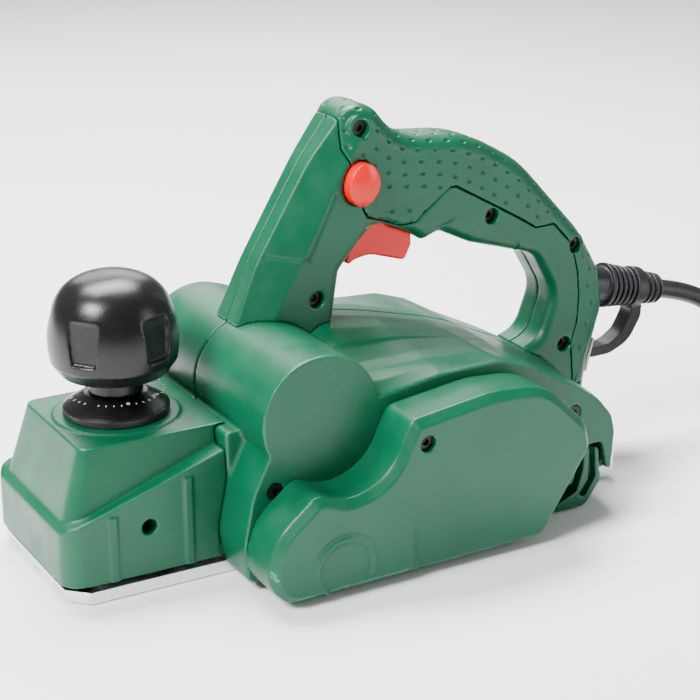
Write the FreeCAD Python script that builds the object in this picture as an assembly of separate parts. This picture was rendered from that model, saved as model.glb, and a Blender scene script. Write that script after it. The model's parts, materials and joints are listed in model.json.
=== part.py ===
import FreeCAD, Part
import math
import os

V = FreeCAD.Vector
os.makedirs("parts", exist_ok=True)

# Electric hand planer. Millimetres.
# Origin: centre of the rear sole's underside. +X towards the back of the tool, +Y towards the
# chip outlet, -Y towards the belt cover, +Z up.

# ---- driving dimensions ------------------------------------------------------------------
PLANE_W = 82.0            # planing width: soles, drum and blades
REAR_SOLE_LEN = 159.0
SHOE_LEN = 81.0
MOUTH_LEN = 25.0          # gap between the soles, at the sole plane
SOLE_T = 6.0              # rear sole plate
SHOE_T = 5.0              # front shoe plate
DEPTH_MAX = 1.5           # deepest cut, which is how far the shoe rises
CUT_R = 23.5              # cutting circle
DRUM_R = 21.6
BLADE_T = 1.1
BLADE_H = 5.5
DRUM_SHAFT_R = 6.0
RUN = 0.05                # radial clearance of a running fit
GAP = 0.4                 # free gap between pieces that don't touch
SEAM = 0.5                # visible seam between shells

WALL = 2.8                # shells of the housing
BODY_Z = 7.2              # underside of the shells over the soles
FLANGE_DEPTH = 22.0       # side flange, out from the sole's edge
FLANGE_Z = 4.0            # underside of the flange
COVER_DEPTH = 23.5        # belt cover, out from the flange
COVER_CHAMFER = 3.5
COVER_Z = 2.0
COVER_WALL = 2.4

HANDLE_W = 36.0
HANDLE_WALL = 4.0
HANDLE_FILLET = 9.0
GAP_FILLET = 5.0
DUCT_R = 26.4
DUCT_WALL = 3.0
DUCT_REACH = 13.0         # how far the duct stands out past the sole's far edge
OUTLET_R = 18.0           # chip outlet's bore
OUTLET_LEN = 12.6

BOX_W = 80.4              # front housing, across
BOX_WALL = 2.6
PLATFORM_Z = 62.0
KNOB_R = 26.6
DIAL_R = 22.0
SPINDLE_R = 4.0

MOTOR_Z = 36.5
STATOR_R = 27.0
STATOR_BORE = 15.5
CORE_R = 15.0
MOTOR_SHAFT_R = 4.0
DRUM_PULLEY_R = 10.5
MOTOR_PULLEY_R = 10.0
BELT_T = 2.2
BELT_W = 9.0
BELT_GAP = 0.35           # the belt stands just off its pulleys, which turn inside it

TRIGGER_W = 20.0
CORD_D = 9.0
CORD_TILT = 12.0          # the cord leaves the handle this many degrees below level

# ---- places that follow from them --------------------------------------------------------
X_LIP = -REAR_SOLE_LEN / 2            # front lip of the rear sole
X_TAIL = REAR_SOLE_LEN / 2            # rear end of the sole
X_DRUM = X_LIP - MOUTH_LEN / 2
Z_DRUM = CUT_R + RUN
X_SHOE_REAR = X_LIP - MOUTH_LEN
X_NOSE = X_SHOE_REAR - SHOE_LEN
Y_NEAR = -PLANE_W / 2
Y_FAR = PLANE_W / 2
Y_FLANGE = Y_NEAR - FLANGE_DEPTH
Y_COVER = Y_FLANGE - COVER_DEPTH
Y_DUCT = Y_FAR + DUCT_REACH
X_MOTOR = X_DRUM + 82.0
X_DUCT = X_DRUM + 7.4
Z_DUCT = 68.7
X_KNOB = X_NOSE + 39.0
BOX_Y = BOX_W / 2
HANDLE_Y = HANDLE_W / 2
Y_BELT = Y_FLANGE - 12.0
Y_SIDE = Y_FAR + 12.4                 # outer face of the far side's bearing housing


# ---- helpers -----------------------------------------------------------------------------
def corner(before, here, after, radius):
    """Start and end of the tangent arc that rounds a corner, and the arc's middle point."""
    to_before = (before - here).normalize()
    to_after = (after - here).normalize()
    half = to_before.getAngle(to_after) / 2
    setback = radius / math.tan(half)
    middle = (to_before + to_after).normalize()
    peak = here + middle * (radius / math.sin(half) - radius)
    return here + to_before * setback, peak, here + to_after * setback


def rounded(points, plane="xz"):
    """Closed outline through (a, b, radius) corners: straight sides and tangent arcs."""
    places = {"xz": lambda a, b: V(a, 0, b), "xy": lambda a, b: V(a, b, 0), "yz": lambda a, b: V(0, a, b)}
    place = places[plane]
    spots = [place(a, b) for a, b, _ in points]
    edges = []
    ends = []
    for i, (_, _, radius) in enumerate(points):
        here = spots[i]
        if radius == 0:
            ends.append((here, here))
            continue
        start, peak, end = corner(spots[i - 1], here, spots[(i + 1) % len(spots)], radius)
        ends.append((start, end))
        edges.append(Part.Arc(start, peak, end).toShape())
    for i in range(len(spots)):
        here = ends[i][1]
        there = ends[(i + 1) % len(spots)][0]
        if here.distanceToPoint(there) > 1e-6:
            edges.append(Part.LineSegment(here, there).toShape())
    return Part.Wire(Part.__sortEdges__(edges))


def slab(wire, y0, y1):
    """An XZ outline as a solid from y0 to y1."""
    face = Part.Face(wire)
    face.translate(V(0, y0, 0))
    return face.extrude(V(0, y1 - y0, 0))


def plate(wire, z0, z1):
    """An XY outline as a solid from z0 to z1."""
    face = Part.Face(wire)
    face.translate(V(0, 0, z0))
    return face.extrude(V(0, 0, z1 - z0))


def beam(wire, x0, x1):
    """A YZ outline as a solid from x0 to x1."""
    face = Part.Face(wire)
    face.translate(V(x0, 0, 0))
    return face.extrude(V(x1 - x0, 0, 0))


def box(x0, x1, y0, y1, z0, z1):
    return Part.makeBox(x1 - x0, y1 - y0, z1 - z0, V(x0, y0, z0))


def rod_y(x, z, r, y0, y1):
    return Part.makeCylinder(r, y1 - y0, V(x, y0, z), V(0, 1, 0))


def rod_z(x, y, r, z0, z1):
    return Part.makeCylinder(r, z1 - z0, V(x, y, z0), V(0, 0, 1))


def tube_y(x, z, r_out, r_in, y0, y1):
    return rod_y(x, z, r_out, y0, y1).cut(rod_y(x, z, r_in, y0, y1))


def turned(profile, at, axis=V(0, 0, 1)):
    """A solid of revolution from (radius, height) points about an axis through a place."""
    spots = [V(r, 0, h) for r, h in profile]
    wire = Part.makePolygon(spots + [spots[0]])
    solid = Part.Face(wire).revolve(V(0, 0, 0), V(0, 0, 1), 360)
    solid.Placement = FreeCAD.Placement(at, FreeCAD.Rotation(V(0, 0, 1), axis))
    return solid


def joined(shapes):
    first = shapes[0]
    if len(shapes) == 1:
        return first
    return first.fuse(shapes[1:]).removeSplitter()


def coil_spring(at, axis, radius, wire_r, length, turns):
    """A compression spring: one wire swept along a helix."""
    helix = Part.makeHelix(length / turns, length, radius)
    profile = Part.Wire(Part.makeCircle(wire_r, V(radius, 0, 0), V(0, 1, 0)))
    spring = Part.Wire(helix.Edges).makePipeShell([profile], True, True)
    spring.Placement = FreeCAD.Placement(at, FreeCAD.Rotation(V(0, 0, 1), axis))
    return spring


def save(name, shape):
    solids = shape.Solids
    whole = solids[0] if len(solids) == 1 else Part.makeCompound(solids)
    if not solids or not whole.isValid():
        raise ValueError(name + " is not a valid solid")
    whole.exportStep("parts/" + name + ".step")
    return whole


# ---- outlines ----------------------------------------------------------------------------
FLANGE_RIM = [  # top and rear of the side flange, front to rear
    (X_DRUM + 33.0, 72.5),
    (X_DRUM + 62.5, 77.1),
    (X_DRUM + 92.0, 78.0),
    (X_DRUM + 107.4, 73.1),
    (X_TAIL - 48.2, 63.4),
    (X_TAIL - 36.3, 57.2),
    (X_TAIL - 26.3, 49.9),
    (X_TAIL - 19.3, 41.5),
    (X_TAIL - 17.2, 33.0),
]
CREST = [  # the same stations along the middle of the housing
    (X_DRUM + 33.0, 92.5),
    (X_DRUM + 62.5, 86.6),
    (X_DRUM + 92.0, 79.0),
    (X_DRUM + 107.4, 73.8),
    (X_TAIL - 48.2, 66.0),
    (X_TAIL - 36.3, 61.0),
    (X_TAIL - 24.0, 54.0),
    (X_TAIL - 13.0, 45.0),
    (X_TAIL - 7.0, 32.0),
]


def body_outline(share, inset, floor):
    """Side outline of the motor housing, from the flange's rim (share 0) to the crest (share 1)."""
    top = []
    for (xa, za), (xb, zb) in zip(FLANGE_RIM, CREST):
        top.append((xa + (xb - xa) * share, za + (zb - za) * share))
    tail_x = top[-1][0] - 1.3 - 3.0 * share
    points = [(X_DRUM - 26.5 + inset, floor + inset, 3.0), (X_DRUM - 28.3 + inset, 20.0, 20.0)]
    points += [(X_DRUM - 24.0 + inset, 41.0, 20.0), (X_DRUM - 16.0 + inset, 57.0, 4.0)]
    points += [(x, z - inset, 12.0) for x, z in top[:-2]]
    points += [(x - inset, z - inset * 0.5, 8.0) for x, z in top[-2:]]
    points += [(tail_x - inset, 16.0, 6.0), (tail_x - 4.0 - inset, floor + inset, 1.5)]
    return rounded(points)


def handle_outline(inset):
    """Outer side outline of the handle: front column, crown, grip, rear column."""
    d = inset
    points = [
        (X_DRUM + 6.0 + d, 70.0, 3.0),
        (X_DRUM - 4.8 + d, 91.0 + d, 3.0),
        (X_DRUM + 6.0 + d, 116.0, 90.0),
        (X_DRUM + 31.3 + d, 158.0 - d, 70.0),
        (X_DRUM + 50.0 + d * 0.5, 182.2 - d, 9.5),
        (X_DRUM + 61.8, 178.4 - d, 11.0),
        (X_DRUM + 73.5, 164.2 - d, 26.0),
        (X_TAIL - 62.0, 161.4 - d, 60.0),
        (X_TAIL - 34.5 - d * 0.5, 146.0 - d * 0.8, 60.0),
        (X_TAIL + 0.5 - d, 109.0 - d * 0.6, 50.0),
        (X_TAIL + 12.8 - d, 88.5, 14.0),
        (X_TAIL + 15.5 - d, 71.5, 22.0),
        (X_TAIL + 8.0 - d, 46.0, 22.0),
        (X_TAIL + 5.5 - d, 27.0, 10.0),
        (X_TAIL - 10.0 - d, 20.0, 8.0),
        (X_TAIL - 42.0, 28.0, 6.0),
        (X_DRUM + 58.0, 50.0, 6.0),
    ]
    return rounded(points)


def gap_outline(inset):
    """Finger gap of the handle; a positive inset makes it larger."""
    d = inset
    points = [
        (X_DRUM + 39.0 - d, 86.0 - d, 4.0),
        (X_DRUM + 43.2 - d, 111.5, 2.0),
        (X_DRUM + 53.4, 123.1 + d, 4.0),
        (X_DRUM + 59.5, 128.4 + d, 2.5),
        (X_DRUM + 64.5, 128.4 + d, 2.5),
        (X_DRUM + 78.0, 122.4 + d, 3.0),
        (X_DRUM + 84.5, 117.8 + d, 4.0),
        (X_DRUM + 93.5, 121.0 + d, 6.0),
        (X_DRUM + 110.0, 113.0 + d, 20.0),
        (X_TAIL - 26.5 + d * 0.5, 102.4 + d, 14.0),
        (X_TAIL - 15.0 + d, 82.5, 14.0),
        (X_TAIL - 22.5 + d, 61.5 - d, 12.0),
        (X_TAIL - 44.0, 54.5 - d, 10.0),
        (X_DRUM + 62.0, 73.0 - d, 10.0),
    ]
    return rounded(points)


def cover_outline(inset):
    """Side outline of the belt cover."""
    d = inset
    points = [
        (X_DRUM - 19.0 + d * 0.6, COVER_Z + d, 9.0),
        (X_DRUM - 29.5 + d, 12.0 + d * 0.5, 14.0),
        (X_DRUM - 24.0 + d, 32.0 - d * 0.5, 22.0),
        (X_DRUM - 6.5, 46.2 - d, 6.0),
        (X_DRUM + 5.0, 42.0 - d, 16.0),
        (X_DRUM + 24.5 + d * 0.4, 42.2 - d, 25.0),
        (X_DRUM + 32.8 + d, 61.0 - d * 0.4, 17.0),
        (X_DRUM + 37.0 + d * 0.6, 69.4 - d, 5.0),
        (X_DRUM + 74.0, 74.2 - d, 60.0),
        (X_DRUM + 101.0 - d * 0.4, 72.4 - d, 30.0),
        (X_DRUM + 122.5 - d * 0.8, 51.6 - d * 0.5, 12.0),
        (X_DRUM + 125.6 - d, 40.0, 9.0),
        (X_DRUM + 102.0 - d * 0.8, COVER_Z + 2.0 + d, 8.0),
    ]
    return rounded(points)


# ---- soles, drum and blades --------------------------------------------------------------
DRUM_ROOM = CUT_R + 2.0
CHEEK_NEAR = (Y_NEAR - 15.0, Y_NEAR - 1.6)
CHEEK_FAR = (Y_FAR + 1.2, Y_FAR + 10.8)
BEARING_12 = {"r_in": DRUM_SHAFT_R, "r_out": 14.0, "w": 8.0}
BEARING_FAR = {"r_in": 4.0, "r_out": 11.0, "w": 7.0}
BEAM_X = (X_DRUM + CUT_R + 6.0, X_DRUM + CUT_R + 17.0)
SOLE_SCREW_X = (X_TAIL - 25.0, BEAM_X[1] + 12.0)
SOLE_SCREW_Y = 26.0
GUIDE_X = X_NOSE + 20.0
GUIDE_Y = 24.0
GUIDE_R = 4.0
BOSS_R = 8.0
BOSS_Z = 26.0


def rear_sole():
    """Cast aluminium base: sole plate with a sharp front lip, cross beam and bearing cheeks."""
    outline = [
        (X_LIP, 0.0, 0),
        (X_TAIL - 3.0, 0.0, 0),
        (X_TAIL, 3.0, 0),
        (X_TAIL, 16.0, 0),
        (X_TAIL - 3.0, 16.0, 0),
        (X_TAIL - 3.0, SOLE_T, 0),
        (X_LIP + 6.5, SOLE_T, 0),
    ]
    body = slab(rounded(outline), Y_NEAR, Y_FAR)
    beam_z = 30.0
    cross = box(BEAM_X[0], BEAM_X[1], CHEEK_NEAR[0], CHEEK_FAR[1], 10.0, beam_z)
    foot = box(BEAM_X[0], BEAM_X[1], Y_NEAR, Y_FAR, SOLE_T - 1.0, 10.5)
    cheek = [
        (X_DRUM - 17.0, Z_DRUM - 10.0, 8.0),
        (X_DRUM - 17.0, Z_DRUM + 17.0, 12.0),
        (X_DRUM + 12.0, Z_DRUM + 17.0, 10.0),
        (BEAM_X[1], beam_z, 0),
        (BEAM_X[1], 10.0, 0),
        (X_DRUM - 8.0, 10.0, 8.0),
    ]
    near = slab(rounded(cheek), *CHEEK_NEAR)
    far = slab(rounded(cheek), *CHEEK_FAR)
    body = joined([body, cross, foot, near, far])
    near_y = CHEEK_NEAR[0]
    seat_near = rod_y(X_DRUM, Z_DRUM, BEARING_12["r_out"], near_y - 1, near_y + BEARING_12["w"])
    neck_near = rod_y(X_DRUM, Z_DRUM, 10.0, CHEEK_NEAR[0] - 1, CHEEK_NEAR[1] + 1)
    seat_far = rod_y(X_DRUM, Z_DRUM, BEARING_FAR["r_out"], CHEEK_FAR[1] - BEARING_FAR["w"], CHEEK_FAR[1] + 1)
    neck_far = rod_y(X_DRUM, Z_DRUM, 8.0, CHEEK_FAR[0] - 1, CHEEK_FAR[1] + 1)
    body = body.cut(joined([seat_near, neck_near, seat_far, neck_far]))
    for x in SOLE_SCREW_X:
        for y in (-SOLE_SCREW_Y, SOLE_SCREW_Y):
            body = body.cut(rod_z(x, y, 2.6, -1.0, SOLE_T + 1.0))
            body = body.cut(turned([(0, -0.1), (5.0, -0.1), (2.6, 2.6), (0, 2.6)], V(x, y, 0)))
    return body


def front_shoe():
    """Movable aluminium shoe with a V groove, its threaded boss and two guide posts."""
    side = [
        (X_NOSE, 2.0, 0),
        (X_NOSE + 2.0, 0.0, 0),
        (X_SHOE_REAR, 0.0, 0),
        (X_SHOE_REAR - 6.0, SHOE_T, 0),
        (X_NOSE, SHOE_T, 0),
    ]
    body = slab(rounded(side), Y_NEAR, Y_FAR)
    for sign in (-1, 1):
        trim = Part.makePolygon([V(X_NOSE - 1, sign * (Y_FAR + 1), 0), V(X_NOSE + 9, sign * (Y_FAR + 1), 0),
                                 V(X_NOSE - 1, sign * (Y_FAR - 9), 0), V(X_NOSE - 1, sign * (Y_FAR + 1), 0)])
        body = body.cut(plate(trim, -1, SHOE_T + 1))
    groove = rounded([(-4.0, -0.1, 0), (4.0, -0.1, 0), (0.0, 3.2, 0.6)], "yz")
    body = body.cut(beam(groove, X_NOSE - 1, X_SHOE_REAR - 16.0))
    for y in (-27.0, 27.0):
        body = body.cut(box(X_NOSE - 1, X_NOSE + 4.0, y - 6.0, y + 6.0, -1, SHOE_T - 2.0))
    boss = rod_z(X_KNOB, 0, BOSS_R, SHOE_T - 0.5, BOSS_Z)
    posts = [rod_z(GUIDE_X, y, GUIDE_R, SHOE_T - 0.5, 34.0) for y in (-GUIDE_Y, GUIDE_Y)]
    body = joined([body, boss] + posts)
    return body.cut(rod_z(X_KNOB, 0, SPINDLE_R + RUN, SHOE_T + 2.0, BOSS_Z + 1))


def blade_place(shape, turn):
    return shape.rotated(V(X_DRUM, 0, Z_DRUM), V(0, 1, 0), turn)


def blade_pocket(grow):
    """The slot in the drum that one blade and its clamp sit in, before turning."""
    depth = 9.0
    return box(X_DRUM - 9.0 - grow, X_DRUM + BLADE_T / 2 + grow, Y_NEAR - 1, Y_FAR + 1,
               Z_DRUM + DRUM_R - depth - grow, Z_DRUM + DRUM_R + 3.0)


def cutter_drum():
    drum = rod_y(X_DRUM, Z_DRUM, DRUM_R, Y_NEAR + 0.2, Y_FAR - 0.2)
    for turn in (0, 180):
        drum = drum.cut(blade_place(blade_pocket(0.0), turn))
    near = rod_y(X_DRUM, Z_DRUM, DRUM_SHAFT_R, PULLEY_Y[0] - 0.6, Y_NEAR + 1)
    far = rod_y(X_DRUM, Z_DRUM, BEARING_FAR["r_in"], Y_FAR - 1, CHEEK_FAR[1] - 0.4)
    shoulder = rod_y(X_DRUM, Z_DRUM, DRUM_SHAFT_R + 2.5, CHEEK_NEAR[0] + BEARING_12["w"], Y_NEAR + 1)
    return joined([drum, near, far, shoulder])


def cutter_blades():
    """Two reversible blades, flush with the sole plane as they pass it."""
    blades = []
    for turn in (0, 180):
        blade = box(X_DRUM - BLADE_T / 2, X_DRUM + BLADE_T / 2, Y_NEAR + 0.2, Y_FAR - 0.2,
                    Z_DRUM + CUT_R - BLADE_H - 1.0, Z_DRUM + CUT_R - 0.02)
        blades.append(blade_place(blade, turn))
    return Part.makeCompound(blades)


def blade_clamps():
    """The wedge bars that hold the blades in the drum."""
    clamps = []
    for turn in (0, 180):
        bar = box(X_DRUM - 6.0, X_DRUM - BLADE_T / 2, Y_NEAR + 1.0, Y_FAR - 1.0,
                  Z_DRUM + DRUM_R - 9.0, Z_DRUM + DRUM_R - 1.4)
        for y in (-27.0, 0.0, 27.0):
            bar = bar.cut(Part.makeCylinder(2.1, 8.0, V(X_DRUM - 8.0, y, Z_DRUM + DRUM_R - 5.0), V(1, 0, 0)))
        clamps.append(blade_place(bar, turn))
    return Part.makeCompound(clamps)


def clamp_screws():
    screws = []
    for turn in (0, 180):
        for y in (-27.0, 0.0, 27.0):
            at = V(X_DRUM - 8.6, y, Z_DRUM + DRUM_R - 5.0)
            screw = turned([(0, 0), (3.0, 0), (3.0, 2.6), (2.1, 2.6), (2.1, 8.0), (0, 8.0)], at, V(1, 0, 0))
            screw = screw.cut(Part.makeCylinder(1.2, 1.5, at, V(1, 0, 0)))
            screws.append(blade_place(screw, turn))
    return Part.makeCompound(screws)


def bearing(x, z, y0, kind, inner):
    """A sealed ball bearing as its two rings and seal in one body, for a shaft of radius inner."""
    ring = tube_y(x, z, kind["r_out"], inner, y0, y0 + kind["w"])
    groove_r = (kind["r_out"] + inner) / 2
    seal = tube_y(x, z, groove_r + 1.6, groove_r - 1.6, y0 - 0.1, y0 + 0.5)
    y1 = y0 + kind["w"]
    seal = seal.fuse(tube_y(x, z, groove_r + 1.6, groove_r - 1.6, y1 - 0.5, y1 + 0.1))
    return ring.cut(seal)


# ---- belt drive --------------------------------------------------------------------------
PULLEY_Y = (Y_BELT - BELT_W / 2 - 1.5, Y_BELT + BELT_W / 2 + 1.5)


def pulley(x, z, r, bore_r, hub_r):
    """Grooved pulley with raised rims, on its hub."""
    wheel = rod_y(x, z, r, *PULLEY_Y)
    rims = [rod_y(x, z, r + 1.6, PULLEY_Y[0], PULLEY_Y[0] + 1.2)]
    rims.append(rod_y(x, z, r + 1.6, PULLEY_Y[1] - 1.2, PULLEY_Y[1]))
    hub = rod_y(x, z, hub_r, PULLEY_Y[1] - 0.5, PULLEY_Y[1] + 1.8)
    body = joined([wheel, hub] + rims)
    for y in (Y_BELT - 2.4, Y_BELT, Y_BELT + 2.4):
        body = body.cut(tube_y(x, z, r + 1, r - 0.8, y - 0.6, y + 0.6))
    return body.cut(rod_y(x, z, bore_r, PULLEY_Y[0] - 1, PULLEY_Y[1] + 3))


def belt_path(grow):
    """Closed outline round both pulleys, at a distance from their running faces."""
    r1 = DRUM_PULLEY_R + grow
    r2 = MOTOR_PULLEY_R + grow
    a = V(X_DRUM, 0, Z_DRUM)
    b = V(X_MOTOR, 0, MOTOR_Z)
    along = b - a
    lean = math.acos((r1 - r2) / along.Length)
    rise = math.atan2(along.z, along.x)
    edges = []
    up = V(math.cos(rise + lean), 0, math.sin(rise + lean))
    down = V(math.cos(rise - lean), 0, math.sin(rise - lean))
    outward = V(math.cos(rise), 0, math.sin(rise))
    edges.append(Part.Arc(a + up * r1, a - outward * r1, a + down * r1).toShape())
    edges.append(Part.LineSegment(a + down * r1, b + down * r2).toShape())
    edges.append(Part.Arc(b + down * r2, b + outward * r2, b + up * r2).toShape())
    edges.append(Part.LineSegment(b + up * r2, a + up * r1).toShape())
    return Part.Wire(edges)


def drive_belt():
    outer = slab(belt_path(BELT_GAP + BELT_T), Y_BELT - BELT_W / 2, Y_BELT + BELT_W / 2)
    inner = slab(belt_path(BELT_GAP), Y_BELT - BELT_W / 2 - 1, Y_BELT + BELT_W / 2 + 1)
    return outer.cut(inner)


# ---- motor -------------------------------------------------------------------------------
MOTOR_BEARING = {"r_in": MOTOR_SHAFT_R, "r_out": 11.0, "w": 7.0}
Y_STATOR = (Y_NEAR + 9.0, Y_NEAR + 47.0)
Y_FAN = (Y_NEAR - 6.0, Y_NEAR + 1.0)
Y_BEARING_NEAR = Y_FLANGE + WALL + 0.2
Y_BEARING_FAR = Y_FAR - 11.0
Y_COMMUTATOR = (Y_STATOR[1] + 4.0, Y_STATOR[1] + 16.0)
COIL_IN = 17.0
COIL_OUT = 22.5
WINDING_R = 13.0
COMMUTATOR_R = 9.5
FAN_R = 23.5


def motor_stator():
    """Laminated field stack with two pole shoes."""
    stack = rod_y(X_MOTOR, MOTOR_Z, STATOR_R, *Y_STATOR)
    stack = stack.cut(rod_y(X_MOTOR, MOTOR_Z, STATOR_BORE, Y_STATOR[0] - 1, Y_STATOR[1] + 1))
    for side in (-1, 1):
        flat = box(X_MOTOR - STATOR_R, X_MOTOR + STATOR_R, Y_STATOR[0] - 1, Y_STATOR[1] + 1,
                   STATOR_R - 3.5, STATOR_R + 1)
        flat.translate(V(0, 0, MOTOR_Z))
        stack = stack.cut(flat.rotated(V(X_MOTOR, 0, MOTOR_Z), V(0, 1, 0), 90 * (1 - side)))
        for turn in (-38, 38):
            slot = box(X_MOTOR + COIL_IN - 0.4, X_MOTOR + COIL_OUT + 0.4, Y_STATOR[0] - 1, Y_STATOR[1] + 1,
                       MOTOR_Z - 4.4, MOTOR_Z + 4.4)
            stack = stack.cut(slot.rotated(V(X_MOTOR, 0, MOTOR_Z), V(0, 1, 0), turn + 90 * (1 - side)))
    return stack


def field_coils():
    """Two copper windings through the stator's slots, with their end turns."""
    coils = []
    for side in (-1, 1):
        legs = []
        for turn in (-38, 38):
            leg = box(X_MOTOR + COIL_IN, X_MOTOR + COIL_OUT, Y_STATOR[0] - 4.0, Y_STATOR[1] + 4.0,
                      MOTOR_Z - 4.0, MOTOR_Z + 4.0)
            legs.append(leg.rotated(V(X_MOTOR, 0, MOTOR_Z), V(0, 1, 0), turn + 90 * (1 - side)))
        for y0, y1 in ((Y_STATOR[0] - 4.0, Y_STATOR[0] - 0.2), (Y_STATOR[1] + 0.2, Y_STATOR[1] + 4.0)):
            end = tube_y(X_MOTOR, MOTOR_Z, COIL_OUT, COIL_IN, y0, y1)
            half_room = box(X_MOTOR + 9.0, X_MOTOR + 30.0, y0 - 1, y1 + 1, MOTOR_Z - 30.0, MOTOR_Z + 30.0)
            legs.append(end.common(half_room.rotated(V(X_MOTOR, 0, MOTOR_Z), V(0, 1, 0), 90 * (1 - side))))
        coils.append(joined(legs))
    return Part.makeCompound(coils)


def armature_core():
    """Slotted steel core of the armature."""
    core = rod_y(X_MOTOR, MOTOR_Z, CORE_R, Y_STATOR[0], Y_STATOR[1])
    for i in range(12):
        slot = box(X_MOTOR + CORE_R - 6.0, X_MOTOR + CORE_R + 1, Y_STATOR[0] - 1, Y_STATOR[1] + 1,
                   MOTOR_Z - 1.0, MOTOR_Z + 1.0)
        core = core.cut(slot.rotated(V(X_MOTOR, 0, MOTOR_Z), V(0, 1, 0), i * 30.0))
    return core.cut(rod_y(X_MOTOR, MOTOR_Z, MOTOR_SHAFT_R, Y_STATOR[0] - 1, Y_STATOR[1] + 1))


def armature_windings():
    """Copper end turns on both faces of the core."""
    near = tube_y(X_MOTOR, MOTOR_Z, WINDING_R, MOTOR_SHAFT_R, Y_STATOR[0] - 5.0, Y_STATOR[0])
    far = tube_y(X_MOTOR, MOTOR_Z, WINDING_R, MOTOR_SHAFT_R, Y_STATOR[1], Y_STATOR[1] + 3.6)
    return Part.makeCompound([near, far])


def commutator():
    bars = tube_y(X_MOTOR, MOTOR_Z, COMMUTATOR_R, MOTOR_SHAFT_R, *Y_COMMUTATOR)
    for i in range(12):
        slot = box(X_MOTOR + COMMUTATOR_R - 0.8, X_MOTOR + COMMUTATOR_R + 1, Y_COMMUTATOR[0] + 1.5,
                   Y_COMMUTATOR[1] + 1, MOTOR_Z - 0.3, MOTOR_Z + 0.3)
        bars = bars.cut(slot.rotated(V(X_MOTOR, 0, MOTOR_Z), V(0, 1, 0), i * 30.0 + 15.0))
    return bars


def motor_shaft():
    return rod_y(X_MOTOR, MOTOR_Z, MOTOR_SHAFT_R, PULLEY_Y[0] - 0.6, Y_BEARING_FAR + MOTOR_BEARING["w"])


def cooling_fan():
    """Radial fan: back plate, hub and swept blades."""
    body = rod_y(X_MOTOR, MOTOR_Z, FAN_R, Y_FAN[1] - 1.4, Y_FAN[1])
    body = body.fuse(rod_y(X_MOTOR, MOTOR_Z, 9.0, *Y_FAN))
    blades = []
    for i in range(11):
        blade = box(X_MOTOR + 11.0, X_MOTOR + FAN_R - 1.0, Y_FAN[0], Y_FAN[1] - 1.0, MOTOR_Z + 3.0,
                    MOTOR_Z + 4.2)
        blades.append(blade.rotated(V(X_MOTOR, 0, MOTOR_Z), V(0, 1, 0), i * 360.0 / 11))
    body = joined([body] + blades)
    return body.cut(rod_y(X_MOTOR, MOTOR_Z, MOTOR_SHAFT_R, Y_FAN[0] - 1, Y_FAN[1] + 1))


BRUSH_Y = (Y_COMMUTATOR[0] + 2.5, Y_COMMUTATOR[0] + 8.5)
BRUSH_HALF = 3.0


def carbon_brushes():
    brushes = []
    for side in (-1, 1):
        brush = box(X_MOTOR + COMMUTATOR_R + 0.35, X_MOTOR + 19.0, BRUSH_Y[0], BRUSH_Y[1],
                    MOTOR_Z - BRUSH_HALF, MOTOR_Z + BRUSH_HALF)
        brushes.append(brush.rotated(V(X_MOTOR, 0, MOTOR_Z), V(0, 1, 0), 90 * (1 - side)))
    return Part.makeCompound(brushes)


def brush_holders():
    """Two brass boxes that guide the brushes, each with its end cap."""
    holders = []
    for side in (-1, 1):
        y0, y1 = BRUSH_Y
        outer = box(X_MOTOR + 11.5, X_MOTOR + 25.0, y0 - 1.2, y1 + 1.2,
                    MOTOR_Z - BRUSH_HALF - 1.2, MOTOR_Z + BRUSH_HALF + 1.2)
        outer = outer.cut(box(X_MOTOR + 11.0, X_MOTOR + 23.8, y0, y1, MOTOR_Z - BRUSH_HALF,
                              MOTOR_Z + BRUSH_HALF))
        holders.append(outer.rotated(V(X_MOTOR, 0, MOTOR_Z), V(0, 1, 0), 90 * (1 - side)))
    return Part.makeCompound(holders)


# ---- housing shells ----------------------------------------------------------------------
FLANGE_RISE = [  # across the flange: y, share of the crest's height
    (Y_FLANGE, 0.0),
    (Y_FLANGE + 6.5, 0.24),
    (Y_FLANGE + 12.0, 0.36),
    (Y_NEAR - 1.0, 0.40),
]
CREST_RISE = [  # across the motor housing: y, share of the crest's height
    (Y_NEAR - 1.0, 0.40),
    (Y_NEAR + 11.0, 0.58),
    (Y_NEAR + 11.8, 0.64),
    (Y_NEAR + 21.0, 0.84),
    (-9.0, 1.0),
    (9.0, 1.0),
    (Y_FAR - 21.0, 0.84),
    (Y_FAR - 11.0, 0.60),
    (Y_FAR - 3.0, 0.40),
    (Y_FAR, 0.22),
]
HANDLE_SCREWS = [  # through the handle from the near side: x, z
    (X_DRUM + 53.2, 171.2),
    (X_DRUM + 31.0, 100.8),
    (X_TAIL - 51.8, 124.2),
    (X_TAIL - 4.8, 103.6),
    (X_TAIL - 9.4, 57.0),
]
FLANGE_SCREWS = [(X_DRUM - 14.0, 41.8), (X_TAIL - 39.6, 46.2)]
HEAD_R = 3.4
HEAD_H = 2.4
SCREW_R = 1.9
BUTTON_X = X_DRUM + 51.6
BUTTON_Z = 148.6
BUTTON_LONG = 9.15
BUTTON_SHORT = 7.15
BUTTON_LEAN = 12.0
TRIGGER_PIN = (X_DRUM + 55.0, 129.5)
PIN_R = 1.5
EXIT_DIR = V(math.cos(math.radians(CORD_TILT)), 0, -math.sin(math.radians(CORD_TILT)))
EXIT = V(X_TAIL + 15.2, 0, 78.4)
REST_PIN = (X_TAIL - 29.0, 23.0)
REST_Y = (Y_FLANGE + 0.4, Y_NEAR - 1.6)
GUIDE_HOLE = (X_NOSE + 34.7, 27.4)
GUIDE_HOLE_R = 3.3
GUIDE_HOLE_LEN = 12.0
Y_DUCT_END = Y_FAR + 5.0
COVER_SCREW = (X_DRUM + 42.8, 59.0)


def handle_half(x):
    """Half the handle's width: it narrows towards the rear."""
    return HANDLE_Y - 1.0 - (x - X_DRUM) * 0.026


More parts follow.
